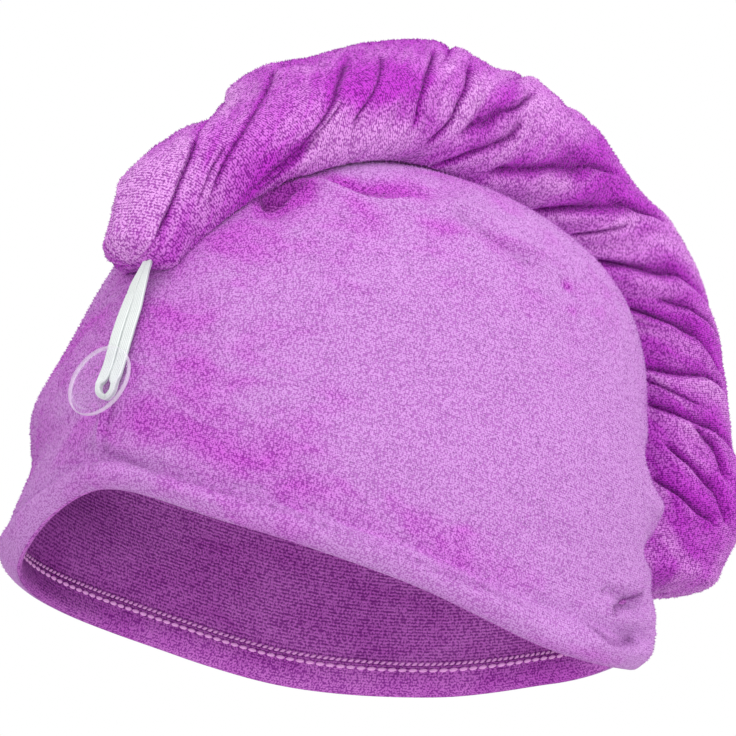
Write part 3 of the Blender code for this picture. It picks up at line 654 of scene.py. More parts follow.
TAIL_PATCHES = [
    # degrees from the top, share, reach round, reach along, amount
    (66, 0.665, 24, 0.045, 1),
    (110, 0.69, 18, 0.06, -0.8),
    (96, 0.6, 16, 0.04, -0.45),
    (95, 0.76, 25, 0.05, -0.55),
    (5, 0.6, 40, 0.055, 0.7),
    (55, 0.72, 25, 0.03, 0.55),
    (60, 0.52, 30, 0.04, 0.3),
    (70, 0.47, 20, 0.03, -0.6),
    (70, 0.36, 40, 0.04, 0.45),
    (40, 0.3, 30, 0.035, -0.45),
    (70, 0.22, 40, 0.05, 0.1),
    (98, 0.195, 20, 0.03, -0.4),
    (40, 0.15, 25, 0.03, -0.35),
    (90, 0.08, 40, 0.06, 0.5),
    (30, 0.02, 40, 0.04, -0.4),
    (50, 0.86, 40, 0.05, 0.25),
    (10, 0.95, 60, 0.07, -1.4),
    (-90, 0.5, 60, 0.08, 0.4),
    (-80, 0.2, 50, 0.08, -0.4),
    (-90, 0.8, 50, 0.08, 0.3),
]
TAIL_AROUND = math.pi * (TAIL_WIDE + TAIL_THICK) / 2
SLIT = 0.7                      # width of a fold's dark slit, in millimetres
STEEP, GENTLE = 0.16, 0.50      # reach of a fold's two sides, as shares of its width
print(len(TAIL_FOLDS) + len(TAIL_CREASES), "grooves in the tail")

# %% Tail rules
def inside_hood(point, grow):
    """True where a point lies in the hood or nearer than grow to its cloth's outer face."""
    x, y, z = np.moveaxis(point, -1, 0)
    reach = CLOTH / 2 + grow
    for _ in range(2):
        top = HOOD_HEIGHT + reach
        height = np.clip(z / top, 0.0, 1.0)
        rows = smooth_rows(HOOD_LEVELS, share_at_height(height))
        wide = rows[..., 1] * HALF_WIDTH + reach
        length = np.where(y > 0, rows[..., 3] * BACK_LENGTH, rows[..., 2] * FRONT_LENGTH) + reach
        power = np.where(y > 0, BACK_POWER, FRONT_POWER)
        angle = np.arctan2(signed_power(-x / wide, power / 2),
                           signed_power(y / length, power / 2))
        relief = hood_relief(angle, height) + slack(angle, height)
        reach = CLOTH / 2 + grow + np.maximum(relief, 0.0) + seam_rise(x, y, z)
    return (np.abs(x / wide) ** power + np.abs(y / length) ** power < 1.0) & (z < top)


def midline(way):
    """Point (forward-back, up) of the hood's cloth on its middle line."""
    rows = smooth_rows(HOOD_LEVELS, np.where(way <= 1.0, way, 2.0 - way))
    y = np.where(way <= 1.0, -rows[..., 2] * FRONT_LENGTH, rows[..., 3] * BACK_LENGTH)
    return np.stack([y, rows[..., 0] * HOOD_HEIGHT], -1)


def tail_frame(share):
    """Centre, outward direction, half width and half thickness at shares of the tail's length."""
    way, lift, aside, wide, thick = np.moveaxis(smooth_rows(TAIL_ROWS, share), -1, 0)
    step = 0.02
    along = unit(midline(way + step) - midline(way - step))
    outward = np.stack([0 * way, -along[..., 1], along[..., 0]], -1)
    base = midline(way)
    centre = np.stack([aside * TAIL_WIDE, base[..., 0], base[..., 1]], -1)
    centre += (lift * TAIL_THICK)[..., None] * outward
    return centre, outward, wide * TAIL_WIDE / 2, thick * TAIL_THICK / 2


def tail_length(share):
    """Length along the tail's centre line up to each share."""
    fine = np.linspace(0.0, 1.0, TABLE_STEPS)
    return np.interp(share, fine, length_up_to(tail_frame(fine)[0]))


def fold_relief(turn, share):
    """Height of the cloth beside and in the folds, in millimetres, and the shade painted in their
    slits, 0 to 1.
    """
    depth = np.zeros(np.broadcast(turn, share).shape)
    overlap, dark = np.zeros_like(depth), np.zeros_like(depth)
    for first, last, start, end, deep, wide in TAIL_FOLDS:
        way = (share - first) / (last - first)
        spot = start + (end - start) * way
        wander = 0.010 * soft_noise(share * 9 + 7 * start, 0 * share + 31 * deep, 21)
        off = (np.mod(turn - spot - wander + 0.5, 1.0) - 0.5) * TAIL_AROUND
        fade = ease(np.clip(way / 0.25, 0, 1) * np.clip((1 - way) / 0.35, 0, 1))
        ragged = soft_noise(share * 16 + 5 * start, 0 * share + 17 * wide, 23)
        fade = fade * (0.75 + 0.35 * ragged)
        reach = FOLD_WIDE * wide * np.where(off > 0, STEEP, GENTLE)
        valley = np.exp(-(np.abs(off) / reach) ** 1.2)
        slit = np.exp(-np.abs(off) / SLIT)
        depth = np.maximum(depth, FOLD_DEPTH * deep * fade * (0.58 * valley + 0.40 * slit))
        # Painted shade along the fold's slit.
        dark = np.maximum(dark, min(1.0, deep) * fade * slit)
        roll = np.exp(-((off - 0.75 * FOLD_WIDE * wide) / (0.55 * FOLD_WIDE * wide)) ** 2)
        overlap += deep * fade * (1.3 * roll - 0.25)
    return overlap - depth, np.clip(dark, 0.0, 1.0)


def tail_place(share, turn):
    """Where a share and a turn lie on the tail's cloth laid flat, in millimetres."""
    return turn * TAIL_AROUND, share * float(tail_length(1.0))


def crumple(turn, share, near):
    """Small folds that follow the twist, stronger beside the grooves."""
    ribs = soft_noise(turn * 32 + 2.0 * share, share * 9.0, 11, 32)
    small = soft_noise(turn * 64, share * 22.0, 12, 64)
    broad = soft_noise(turn * 8, share * 7.0, 13, 8)
    return 0.9 * broad + (0.45 + 0.45 * near) * ribs + (0.12 + 0.30 * near) * small


def press_on_hood(centre, arm):
    """Shorten each arm from a centre outside the hood until its end is clear of the cloth."""
    low, high = np.zeros(arm.shape[:-1]), np.ones(arm.shape[:-1])
    free = ~inside_hood(centre + arm, GAP)
    for _ in range(14):
        middle = 0.5 * (low + high)
        outside = ~inside_hood(centre + middle[..., None] * arm, GAP)
        low, high = np.where(outside, middle, low), np.where(outside, high, middle)
    return centre + np.where(free, 1.0, low)[..., None] * arm


# %% [markdown]
# ## The tail as a mesh
# Cloth simulation can blow lobes up between pinned creases, but it moves creases
# that have to stay where they are. The folds here are drawn by their table, and the
# crumpling between them comes from the soft noise.

# %% Tail mesh
TAIL_COLUMNS, TAIL_RINGS, END_RINGS = 330, 350, 13
turn = np.linspace(0.0, 1.0, TAIL_COLUMNS, endpoint=False)
share = np.linspace(0.0, 1.0, TAIL_RINGS)[:, None]
centre, outward, half_wide, half_thick = tail_frame(share[:, 0])
angle = 2 * math.pi * (turn + tail_length(share) / TAIL_TURN)
size = (half_thick / (TAIL_THICK / 2))[:, None]
folds, fold_painted_shade = fold_relief(turn, share)
cut, crease_painted_shade = line_relief(*tail_place(*np.broadcast_arrays(share, turn)),
                             traced(TAIL_CREASES, tail_place), TAIL_AROUND)
# The tail's painted shade in its folds and creases, taken together.
folds, fold_painted_shade = folds + cut, np.maximum(fold_painted_shade, crease_painted_shade)
near = np.clip(-folds / FOLD_DEPTH, 0, 1)
relief = ((folds + crumple(turn, share, near)) * (0.35 + 0.65 * size)
          + FOLD_DEPTH * hills(angle, share, TAIL_LUMPS))
sag = 1.0 - (1.0 - SAG_POWER) * (np.cos(angle) < 0)
sideways = -(half_wide[:, None] + relief) * signed_power(np.sin(angle), sag)
out = (half_thick[:, None] + relief) * signed_power(np.cos(angle), sag)
arm = np.stack([sideways, 0 * sideways, 0 * sideways], -1) + out[..., None] * outward[:, None, :]
tail_rings = press_on_hood(centre[:, None, :] + 0 * arm, arm)
# Painted shade and highlight: the colour is deeper in the folds and lighter on their crests, stored
# with the tail's lean patches.
crest_highlight = np.clip(folds / 1.3, 0, 1)
leaning = 2.0 * near - crest_highlight + hills(angle, share, TAIL_PATCHES, PATCH_NARROW)


def end_rings(ring, inner, reach):
    """Rings that round off an end of the tail."""
    middle = ring.mean(axis=0)
    along = unit(middle - inner.mean(axis=0))
    bends = np.radians(np.linspace(0, 88, END_RINGS + 1)[1:])
    return [middle + (ring - middle) * math.cos(bend) + along * reach * math.sin(bend)
            for bend in bends]


def with_ends(numbers):
    """Numbers of the rings, with those of the first and last ring repeated on the ends."""
    return np.concatenate([np.repeat(numbers[:1], END_RINGS, 0), numbers,
                           np.repeat(numbers[-1:], END_RINGS, 0)])


root = end_rings(tail_rings[0], tail_rings[3], ROOT_ROUND)
tip = end_rings(tail_rings[-1], tail_rings[-4], TIP_ROUND)
all_rings = np.array(root[::-1] + list(tail_rings) + tip)
ring_number = np.arange(len(all_rings))
from_end = np.minimum(ring_number, len(all_rings) - 1 - ring_number)
even_rows = np.clip(from_end / (END_RINGS + 4.0) - 0.4, 0, 0.6) / 0.6
tail = skin("plush_tail", all_rings, all_rings[0].mean(axis=0), all_rings[-1].mean(axis=0),
            turn, TAIL_AROUND, length_up_to(all_rings[:, ::10]),
            {"painted_shade": with_ends(fold_painted_shade), "nap_and_painted_light": with_ends(leaning), "pile": 1.0,
             "rows": even_rows[:, None]})

# %% [markdown]
# ## Plush cloth
# Plush is a knit with a short pile. Up close it is a grain of tufts with dark gaps.
# From afar the pile's lean shows as lighter and deeper patches, as if brushed, and
# its fibre tips catch light at grazing angles. So the material has a grain with
# bump, patches from stretched noise, and sheen.
# Numbers stored on the mesh add painted shade along creases and folds, and some of the patches are
# painted shade and sheen.

# %% Node helpers
def fill(tree, node, inputs):
    """Link a node's inputs to sockets, or set them to numbers or colours."""
    for key, given in inputs.items():
        if isinstance(given, bpy.types.NodeSocket):
            tree.links.new(given, node.inputs[key])
        else:
            node.inputs[key].default_value = given
    return node


def add(tree, kind, inputs=None, **settings):
    """A new node with its settings and inputs."""
    node = tree.nodes.new(kind)
    for key, setting in settings.items():
        setattr(node, key, setting)
    return fill(tree, node, inputs or {})


def value(tree, kind, a, b):
    """A Math node on sockets or numbers."""
    return add(tree, "ShaderNodeMath", {0: a, 1: b}, operation=kind).outputs[0]


def weighed(tree, *parts):
    """Sockets times their weights, added up."""
    total, *others = [value(tree, "MULTIPLY", socket, weight) for socket, weight in parts]
    for other in others:
        total = value(tree, "ADD", total, other)
    return total


def ramp(tree, factor, low, high):
    """A smooth step from 0 at low to 1 at high."""
    return add(tree, "ShaderNodeMapRange", {"Value": factor, "From Min": low, "From Max": high},
               interpolation_type="SMOOTHSTEP").outputs["Result"]


def mix(tree, factor, a, b, blend="MIX"):
    """A colour between a and b, each a socket or a colour."""
    a, b = ((*given, 1.0) if isinstance(given, tuple) else given for given in (a, b))
    return add(tree, "ShaderNodeMix", {0: factor, 6: a, 7: b},
               data_type="RGBA", blend_type=blend).outputs[2]


def times(tree, colour, shade):
    """One colour darkened by another."""
    return mix(tree, 1.0, colour, shade, "MULTIPLY")


def noise(tree, vector, scale, detail=2.0, rough=0.5, distort=0.0):
    """The strength of a noise texture."""
    return add(tree, "ShaderNodeTexNoise", {
        "Vector": vector, "Scale": scale, "Detail": detail, "Roughness": rough,
        "Distortion": distort}).outputs["Fac"]


def stretched(tree, vector, scale, turn=(0.0, 0.0, 0.0)):
    """Places, scaled and turned."""
    return add(tree, "ShaderNodeMapping",
               {"Vector": vector, "Scale": scale, "Rotation": turn}).outputs["Vector"]


def embossed(tree, height, strength, distance):
    """The surface's direction, changed by a height."""
    return add(tree, "ShaderNodeBump",
               {"Height": height, "Strength": strength, "Distance": distance}).outputs[0]


def stored(tree, mark):
    """A number that is stored on the mesh's points."""
    return add(tree, "ShaderNodeAttribute", attribute_name=mark).outputs["Fac"]


def in_object(tree):
    """Places in the object, in metres."""
    return add(tree, "ShaderNodeTexCoord").outputs["Object"]


def on_cloth(tree):
    """Places on the cloth laid flat, in millimetres."""
    return add(tree, "ShaderNodeUVMap", uv_map="cloth").outputs["UV"]


def new_material(name):
    """A material, its node tree and its shader."""
    made = bpy.data.materials.new(name)
    made.use_nodes = True
    return made, made.node_tree, made.node_tree.nodes["Principled BSDF"]


# %% Plush material
# The second colour is the tint of the shade painted into creases and folds.
WHITE, PAINTED_SHADE_TINT = (1.0, 1.0, 1.0), (0.34, 0.10, 0.36)


def plush(name, light, deep, pits, patches, streak, loop_size, gap_reach, courses, sheen):
    """Plush pile: patches of leaning pile that also carry painted shade and sheen, loops with dark
    gaps, fine fibres, painted shade along creases, sheen and bump.

    pits are the shades between the loops where the pile is light and where it is
    deep, patches the low and high ends of the patch ramp, streak the size of the
    brushed streaks round and along the cloth in millimetres, loop_size the width of
    a loop in metres, gap_reach the distances from a loop's middle at which it is all
    gap and all loop, and courses the height of a row of loops in millimetres and how
    clearly the loops stand in rows.
    """
    made, tree, shader = new_material(name)
    spot, flat = in_object(tree), on_cloth(tree)
    broad = noise(tree, spot, 26.0, 3.0, 0.6, 0.6)
    along_pile = stretched(tree, flat, (1.0 / streak[0], 1.0 / streak[1], 1.0), (0.0, 0.0, 0.25))
    brushed = noise(tree, along_pile, 1.0, 3.0, 0.6, 0.8)
    patch = weighed(tree, (broad, 0.45), (brushed, 0.55), (stored(tree, "nap_and_painted_light"), 0.24))
    leaning = ramp(tree, patch, *patches)
    loops = add(tree, "ShaderNodeTexVoronoi", {"Vector": stretched(tree, spot, (1.0, 1.0, 0.8)),
                                               "Scale": 1.0 / loop_size, "Randomness": 0.9})
    loop = ramp(tree, loops.outputs["Distance"], *gap_reach)
    row = add(tree, "ShaderNodeTexWave", {"Vector": flat, "Scale": math.pi / 10 / courses[0],
                                          "Distortion": 1.6, "Detail": 1.0}, bands_direction="Y")
    in_rows = value(tree, "SUBTRACT", row.outputs["Fac"], 0.5)
    in_rows = value(tree, "MULTIPLY", in_rows, stored(tree, "rows"))
    fibres = noise(tree, spot, 1500.0, 2.0, 0.7)
    height = weighed(tree, (loop, 0.50), (fibres, 0.50), (in_rows, courses[1]))
    cloth, gaps = mix(tree, leaning, light, deep), mix(tree, leaning, *pits)
    cloth = times(tree, cloth, mix(tree, ramp(tree, height, 0.26, 0.72), gaps, WHITE))
    # Painted shade: darker colour along creases and folds, from the numbers stored on the mesh.
    cloth = times(tree, cloth, mix(tree, stored(tree, "painted_shade"), WHITE, PAINTED_SHADE_TINT))
    fill(tree, shader, {
        "Base Color": cloth, "Normal": embossed(tree, height, 0.7, 0.0005),
        "Roughness": 0.92, "Specular IOR Level": 0.10, "Sheen Weight": sheen,
        "Sheen Roughness": 0.4, "Sheen Tint": (0.95, 0.72, 1.0, 1.0)})
    return made


hood_plush = plush("hood_plush", (0.610, 0.285, 0.690), (0.62, 0.096, 0.67),
                   ((0.68, 0.48, 0.69), (0.44, 0.15, 0.48)), (0.40, 0.78), (26.0, 14.0),
                   0.00060, (0.78, 0.32), (0.66, 0.22), 0.20)
tail_plush = plush("tail_plush", (0.77, 0.345, 0.81), (0.555, 0.044, 0.625),
                   ((0.46, 0.21, 0.50), (0.38, 0.09, 0.42)), (0.34, 0.68), (16.0, 60.0),
                   0.00068, (0.78, 0.32), (0.95, 0.36), 0.18)
inner_plush = plush("inner_plush", (0.66, 0.195, 0.69), (0.54, 0.10, 0.57),
                    ((0.44, 0.24, 0.48), (0.38, 0.17, 0.42)), (0.38, 0.70), (40.0, 20.0),
                    0.00070, (0.78, 0.32), (1.00, 0.42), 0.0)
# Painted shade: the turned hem's inner face is the same plush, here as a deeper copy with less
# sheen because it lies in shade.
hem_plush_shaded = plush("hem_plush_shaded", (0.72, 0.22, 0.75), (0.54, 0.070, 0.59),
                  ((0.46, 0.24, 0.52), (0.40, 0.14, 0.44)), (0.34, 0.80), (30.0, 18.0),
                  0.00065, (0.78, 0.32), (0.90, 0.25), 0.05)

# %% Give the cloth its materials
KNIT_ROWS = 7                   # rows of the hem, next to the inside, that keep its knit
OUTER, INNER, HEM = range(3)
for finish in (hood_plush, inner_plush, hem_plush_shaded):
    hood.data.materials.append(finish)
slots = np.full(len(hood.data.polygons), OUTER, np.int32)
# The hem's inner face takes the shaded copy of the plush.
slots[:(INNER_ROWS + HEM_ROWS // 2) * HOOD_COLUMNS] = HEM
slots[:(INNER_ROWS + KNIT_ROWS) * HOOD_COLUMNS] = INNER
inner_pole = (len(hood_rings) - 1) * HOOD_COLUMNS
slots[inner_pole:inner_pole + HOOD_COLUMNS] = INNER
hood.data.polygons.foreach_set("material_index", slots)
tail.data.materials.append(tail_plush)

# %% [markdown]
# ## A Geometry Nodes kit
# Fibres and stitches repeat thousands of times, which is work for Geometry Nodes:
# a small tree places copies of one shape, and its inputs can be changed later. Here
# the result is turned into a plain mesh at once, so that it exports as it looks.

# %% Geometry Nodes helpers
def start_tree(name, inputs):
    """A node tree with a geometry input, named inputs and a geometry output."""
    tree = bpy.data.node_groups.new(name, "GeometryNodeTree")
    tree.interface.new_socket("Geometry", in_out="INPUT", socket_type="NodeSocketGeometry")
    for title, kind, start in inputs:
        made = tree.interface.new_socket(title, in_out="INPUT", socket_type="NodeSocket" + kind)
        made.default_value = start
    tree.interface.new_socket("Geometry", in_out="OUTPUT", socket_type="NodeSocketGeometry")
    return tree, tree.nodes.new("NodeGroupInput").outputs


def turned(tree, rotation, angles):
    """A rotation, turned further about its own axes."""
    further = add(tree, "FunctionNodeEulerToRotation", {"Euler": angles}).outputs["Rotation"]
    return add(tree, "FunctionNodeRotateRotation", {"Rotation": rotation, "Rotate By": further},
               rotation_space="LOCAL").outputs["Rotation"]


def end_tree(tree, copies, smooth):
    """Make the copies real, pass them through an empty Set Material node and put them out."""
    made = add(tree, "GeometryNodeRealizeInstances", {"Geometry": copies.outputs["Instances"]})
    if smooth:
        made = add(tree, "GeometryNodeSetShadeSmooth", {"Geometry": made.outputs["Geometry"]})
    made = add(tree, "GeometryNodeSetMaterial", {"Geometry": made.outputs["Geometry"]})
    add(tree, "NodeGroupOutput", {"Geometry": made.outputs["Geometry"]})


def bake_tree(name, source, tree, settings, finish):
    """Run a tree on a piece's mesh and return its result as a new plain mesh object."""
    carrier = into_scene(name + "_carrier", source)
    modifier = carrier.modifiers.new("nodes", "NODES")
    modifier.node_group = tree
    for item in tree.interface.items_tree:
        if item.in_out == "INPUT" and item.name in settings:
            modifier[item.identifier] = settings[item.name]
    carrier.update_tag()
    seen = carrier.evaluated_get(bpy.context.evaluated_depsgraph_get())
    mesh = bpy.data.meshes.new_from_object(seen)
    mesh.name = name
    bpy.data.objects.remove(carrier)
    mesh.materials.clear()
    mesh.materials.append(finish)
    print(name, sum(len(p.vertices) - 2 for p in mesh.polygons), "triangles")
    return into_scene(name, mesh)


# %% [markdown]
# ## The pile
# Plush has a soft edge, because short fibres stand out all over. Blender's hair
# could do this, but it isn't kept in an export. So a tree scatters tiny three-sided
# tufts over the plush, each leaning a little its own way.

# %% Pile tree
pile_tree, given = start_tree("pile", [
    ("Density", "Float", 1000.0), ("Length", "Float", 0.001), ("Width", "Float", 0.0002),
    ("Lean", "Float", 0.6), ("Seed", "Int", 1)])
pile_mask = add(pile_tree, "GeometryNodeInputNamedAttribute", {"Name": "pile"}, data_type="FLOAT")
dense = value(pile_tree, "MULTIPLY", given["Density"], pile_mask.outputs["Attribute"])
scatter = add(pile_tree, "GeometryNodeDistributePointsOnFaces",
              {"Mesh": given["Geometry"], "Density": dense, "Seed": given["Seed"]})
tuft_shape = add(pile_tree, "GeometryNodeMeshCone",
                 {"Vertices": 3, "Radius Top": 0.0, "Radius Bottom": given["Width"],
                  "Depth": given["Length"]}, fill_type="NONE")
lean_low = value(pile_tree, "MULTIPLY", given["Lean"], -1.0)
spread = add(pile_tree, "FunctionNodeRandomValue", {0: lean_low, 1: given["Lean"]},
             data_type="FLOAT_VECTOR")
sizes = add(pile_tree, "FunctionNodeRandomValue", {2: 0.6, 3: 1.25, "Seed": 5})
end_tree(pile_tree, add(pile_tree, "GeometryNodeInstanceOnPoints", {
    "Points": scatter.outputs["Points"], "Instance": tuft_shape.outputs["Mesh"],
    "Rotation": turned(pile_tree, scatter.outputs["Rotation"], spread.outputs[0]),
    "Scale": sizes.outputs[1]}), smooth=False)

# %% Pile of the hood and of the tail
TUFT = {"Length": 0.0006, "Width": 0.00016, "Lean": 0.8}
hood_pile = bake_tree("hood_pile", hood.data, pile_tree,
                      {"Density": 640000.0, **TUFT, "Seed": 3}, hood_plush)
tail_pile = bake_tree("tail_pile", tail.data, pile_tree,
                      {"Density": 800000.0, **TUFT, "Seed": 4}, tail_plush)

# %% [markdown]
# ## The cover stitch
# The turned hem is held by a cover stitch, which shows inside as a row of plump
# loops with a finer, slanted row above. Each loop is a small grain of thread, so a
# tree walks along the hem's line and sets one down at each step.

# %% Stitch tree
stitch_tree, given = start_tree("stitch_row", [
    ("Spacing", "Float", 0.0026), ("Length", "Float", 0.0026), ("Width", "Float", 0.0011),
    ("Slant", "Float", 0.2)])
line = add(stitch_tree, "GeometryNodeMeshToCurve", {"Mesh": given["Geometry"]})
stepped = add(stitch_tree, "GeometryNodeResampleCurve",
              {"Curve": line.outputs["Curve"], "Length": given["Spacing"]}, mode="LENGTH")
tangent = add(stitch_tree, "GeometryNodeInputTangent")
facing = add(stitch_tree, "GeometryNodeInputNamedAttribute", {"Name": "facing"},
             data_type="FLOAT_VECTOR")
along_line = add(stitch_tree, "FunctionNodeAlignRotationToVector",
                 {"Vector": tangent.outputs["Tangent"]}, axis="X")
off_cloth = add(stitch_tree, "FunctionNodeAlignRotationToVector",
                {"Rotation": along_line.outputs["Rotation"],
                 "Vector": facing.outputs["Attribute"]}, axis="Z", pivot_axis="X")
slant = add(stitch_tree, "ShaderNodeCombineXYZ", {"Z": given["Slant"]})
ball = add(stitch_tree, "GeometryNodeMeshUVSphere", {"Segments": 10, "Rings": 7, "Radius": 0.5})
flatter = value(stitch_tree, "MULTIPLY", given["Width"], 0.7)
stretch = add(stitch_tree, "ShaderNodeCombineXYZ",
              {"X": given["Length"], "Y": given["Width"], "Z": flatter})
end_tree(stitch_tree, add(stitch_tree, "GeometryNodeInstanceOnPoints", {
    "Points": stepped.outputs["Curve"], "Instance": ball.outputs["Mesh"],
    "Rotation": turned(stitch_tree, off_cloth.outputs["Rotation"], slant.outputs[0]),
    "Scale": stretch.outputs[0]}), smooth=True)

# %% Cover stitch inside the hem
thread, tree, shader = new_material("stitch_thread")
strand = noise(tree, in_object(tree), 2600.0, 2.0, 0.6)
fill(tree, shader, {"Base Color": mix(tree, strand, (0.90, 0.32, 0.84), (1.0, 0.56, 0.96)),
                    "Normal": embossed(tree, strand, 0.5, 0.0003),
                    "Roughness": 0.7, "Sheen Weight": 0.2})

STITCH_ROWS = [
    # height as a share of HEM_TALL, spacing, length and width in metres, slant in radians
    (0.84, 0.0034, 0.0030, 0.0014, 0.10),
    (1.06, 0.0021, 0.0022, 0.0010, 0.55),
]


def inner_line(height):
    """A closed line of points on the hem's inner face, with the way off the cloth at each."""
    inner_side = np.array(HEM_SECTION[:5])
    outward = float(np.interp(-height, -inner_side[:, 0], inner_side[:, 1]))
    points = hem_ring(height, outward - 0.02) - (0.0, 0.0, SEAT_HEIGHT)
    level_share = np.full(HOOD_COLUMNS, height * HEM_TALL / HOOD_HEIGHT)
    normal = hood_normal(turns, share_at_height(level_share))
    edges = [(k, (k + 1) % HOOD_COLUMNS) for k in range(HOOD_COLUMNS)]
    mesh = bpy.data.meshes.new("stitch_line")
    mesh.from_pydata(points * MM, edges, [])
    way = mesh.attributes.new("facing", "FLOAT_VECTOR", "POINT")
    way.data.foreach_set("vector", (-normal).astype(np.float32).ravel())
    return mesh


stitch_rows = []
for k, (height, *sizes) in enumerate(STITCH_ROWS):
    settings = dict(zip(("Spacing", "Length", "Width", "Slant"), sizes))
    stitch_rows.append(bake_tree(f"cover_stitch_{k + 1}", inner_line(height), stitch_tree,
                                 settings, thread))

# %% [markdown]
# ## The elastic loop
# The loop is a flat ribbed elastic, sewn into the tail's tip and hooked round the
# button's shank. Sweeping one ribbed section round a closed path gives every rib
# its own soft edge, which a bump map alone wouldn't at this size.
# The hollows between the ribs are also painted darker, as shade.

# %% Elastic sizes and path
BUTTON_RISE, BUTTON_SIDE, BUTTON_TILT = 28.0, 3.5, math.radians(9.0)
BUTTON_ACROSS, BUTTON_THICK, SHANK_ACROSS, SHANK_LONG = 22.0, 2.2, 3.0, 4.8
FOOT_ACROSS, BUTTON_RIM, BUTTON_DISH = 4.4, 1.6, 0.6
ELASTIC_WIDE, ELASTIC_THICK, ELASTIC_SPREAD = 4.0, 1.3, -0.25
BENT_WIDE, BENT_THICK = 1.7, 2.2        # the band's section where it bends round the shank
TIP_UP, TIP_OFF = 65.7, 5.8     # where the loop meets the tail: up from the rim, off the cloth
STRAND_STEPS, BEND_STEPS, TIP_ASIDE = 90, 26, 1.3


def nape_place(side, up):
    """Outer face of the hood beside the nape seam, at a length up from the rim, and its normal."""
    share = np.linspace(0.0, 1.0, TABLE_STEPS)
    share = np.interp(up, length_up_to(hood_middle(0 * share, share)), share)
    wide = smooth_rows(HOOD_LEVELS, share)[..., 1] * HALF_WIDTH
    angle = -np.sign(side) * np.arcsin(np.abs(side / wide) ** (BACK_POWER / 2))
    return hood_face(angle, share, 1), hood_normal(angle, share)


seam_side = (BUTTON_SIDE - FOOT_ACROSS / 2) / SEAM_WIDE
base = (GAP + SEAM_RISE * float(bump(2 * max(0.0, seam_side)))
        + FOOT_ACROSS / 2 * math.sin(BUTTON_TILT))
low = base + 2.1
flat = 2.5 * GAP + ELASTIC_THICK / 2
beside = (ELASTIC_WIDE + ELASTIC_SPREAD) / 2
loop_radius = SHANK_ACROSS / 2 + 0.95
length = TIP_UP - BUTTON_RISE + 5.0
strand_rows = [
    # side, up, off the cloth, width, thickness
    (loop_radius, 0.0, low, BENT_WIDE, BENT_THICK),
    (loop_radius, 0.03 * length, low, 2.1, 2.0),
    (beside + 0.1, 0.08 * length, 0.5 * (low + flat) + 0.6, 4.0, 1.5),
    (beside, 0.22 * length, flat + 0.8, ELASTIC_WIDE, ELASTIC_THICK),
    (beside, 0.50 * length, flat + 0.9, ELASTIC_WIDE, ELASTIC_THICK),
    (0.86 * beside, 0.68 * length, flat + 0.36 * TIP_OFF, 0.86 * ELASTIC_WIDE, ELASTIC_THICK),
    (0.42 * beside, 0.86 * length, 0.88 * TIP_OFF, 0.44 * ELASTIC_WIDE, ELASTIC_THICK),
    (0.22 * beside, length, TIP_OFF + 1.0, 0.24 * ELASTIC_WIDE, ELASTIC_THICK),
]
right_strand = smooth_rows(strand_rows, np.linspace(0.0, 1.0, STRAND_STEPS))
left_strand = right_strand[::-1] * np.array([-1, 1, 1, 1, 1])
bends = np.linspace(0, math.pi, BEND_STEPS)[1:-1]
low_bend = [(-loop_radius * math.cos(b), -loop_radius * math.sin(b), low, BENT_WIDE, BENT_THICK)
            for b in bends]
half_top = 0.22 * beside
top_bend = [(half_top * math.cos(b), length + 0.4 * half_top * math.sin(b), TIP_OFF + 1.0,
             0.24 * ELASTIC_WIDE, ELASTIC_THICK) for b in bends]
loop_path = np.concatenate([right_strand, top_bend, left_strand, low_bend])
loop_path[:, 0] -= TIP_ASIDE * ease(np.clip((loop_path[:, 1] / length - 0.65) / 0.35, 0, 1))
print("elastic path of", len(loop_path), "points")

# %% Elastic mesh
RIBS, SIDE_POINTS = 6, 37
place, way_out = nape_place(loop_path[:, 0] - BUTTON_SIDE, BUTTON_RISE + loop_path[:, 1])
centre_line = place + loop_path[:, 2:3] * way_out
along = unit(np.roll(centre_line, -1, axis=0) - np.roll(centre_line, 1, axis=0))
sidewise = unit(np.cross(along, way_out))
off = np.cross(sidewise, along)
s = np.linspace(-1, 1, SIDE_POINTS)
ribbing = np.abs(np.sin(0.5 * math.pi * RIBS * (s + 1)))
rib = (0.72 + 0.28 * ribbing) * np.sqrt(np.clip(1 - np.abs(s) ** 6, 0.02, 1))
section = np.concatenate([np.stack([s, -rib], 1), np.stack([s[::-1], rib[::-1]], 1)])
half_width, half_depth = loop_path[:, 3:4] / 2, loop_path[:, 4:5] / 2
loop_rings = np.stack([centre_line + a * half_width * sidewise + b * half_depth * off
                       for a, b in section], 1)
count, sides = loop_rings.shape[:2]
i, j = grid(count, sides)
i2, j2 = (i + 1) % count, (j + 1) % sides
quads = np.stack([i * sides + j, i * sides + j2, i2 * sides + j2, i2 * sides + j], 1)
cloth_uv = np.stack([(quads % sides) * 0.1, length_up_to(centre_line)[quads // sides]], -1)
# Painted shade in the hollows between the ribs, stored as the number valley.
rib_shade = np.tile(np.concatenate([1 - ribbing, 1 - ribbing[::-1]]) ** 1.5, count)
elastic = mesh_piece("ribbed_elastic", loop_rings.reshape(-1, 3), quads.tolist(), cloth_uv,
                     {"valley": rib_shade})

white, tree, shader = new_material("elastic_white")
weft = add(tree, "ShaderNodeTexWave", {"Vector": on_cloth(tree), "Scale": 0.55,
                                       "Distortion": 0.6, "Detail Scale": 2.0},
           bands_direction="Y")
lint = noise(tree, in_object(tree), 1800.0, 2.0, 0.6)
weave = weighed(tree, (weft.outputs["Fac"], 0.2), (lint, 0.8))
woven = mix(tree, weave, (0.70, 0.73, 0.72), (0.84, 0.87, 0.86))
# Painted shade: darker colour in the hollows between the ribs.
ribbed = mix(tree, stored(tree, "valley"), WHITE, (0.62, 0.66, 0.66))
fill(tree, shader, {"Base Color": times(tree, woven, ribbed),
                    "Normal": embossed(tree, weave, 0.4, 0.0003),
                    "Roughness": 0.6, "Sheen Weight": 0.2})
elastic.data.materials.append(white)
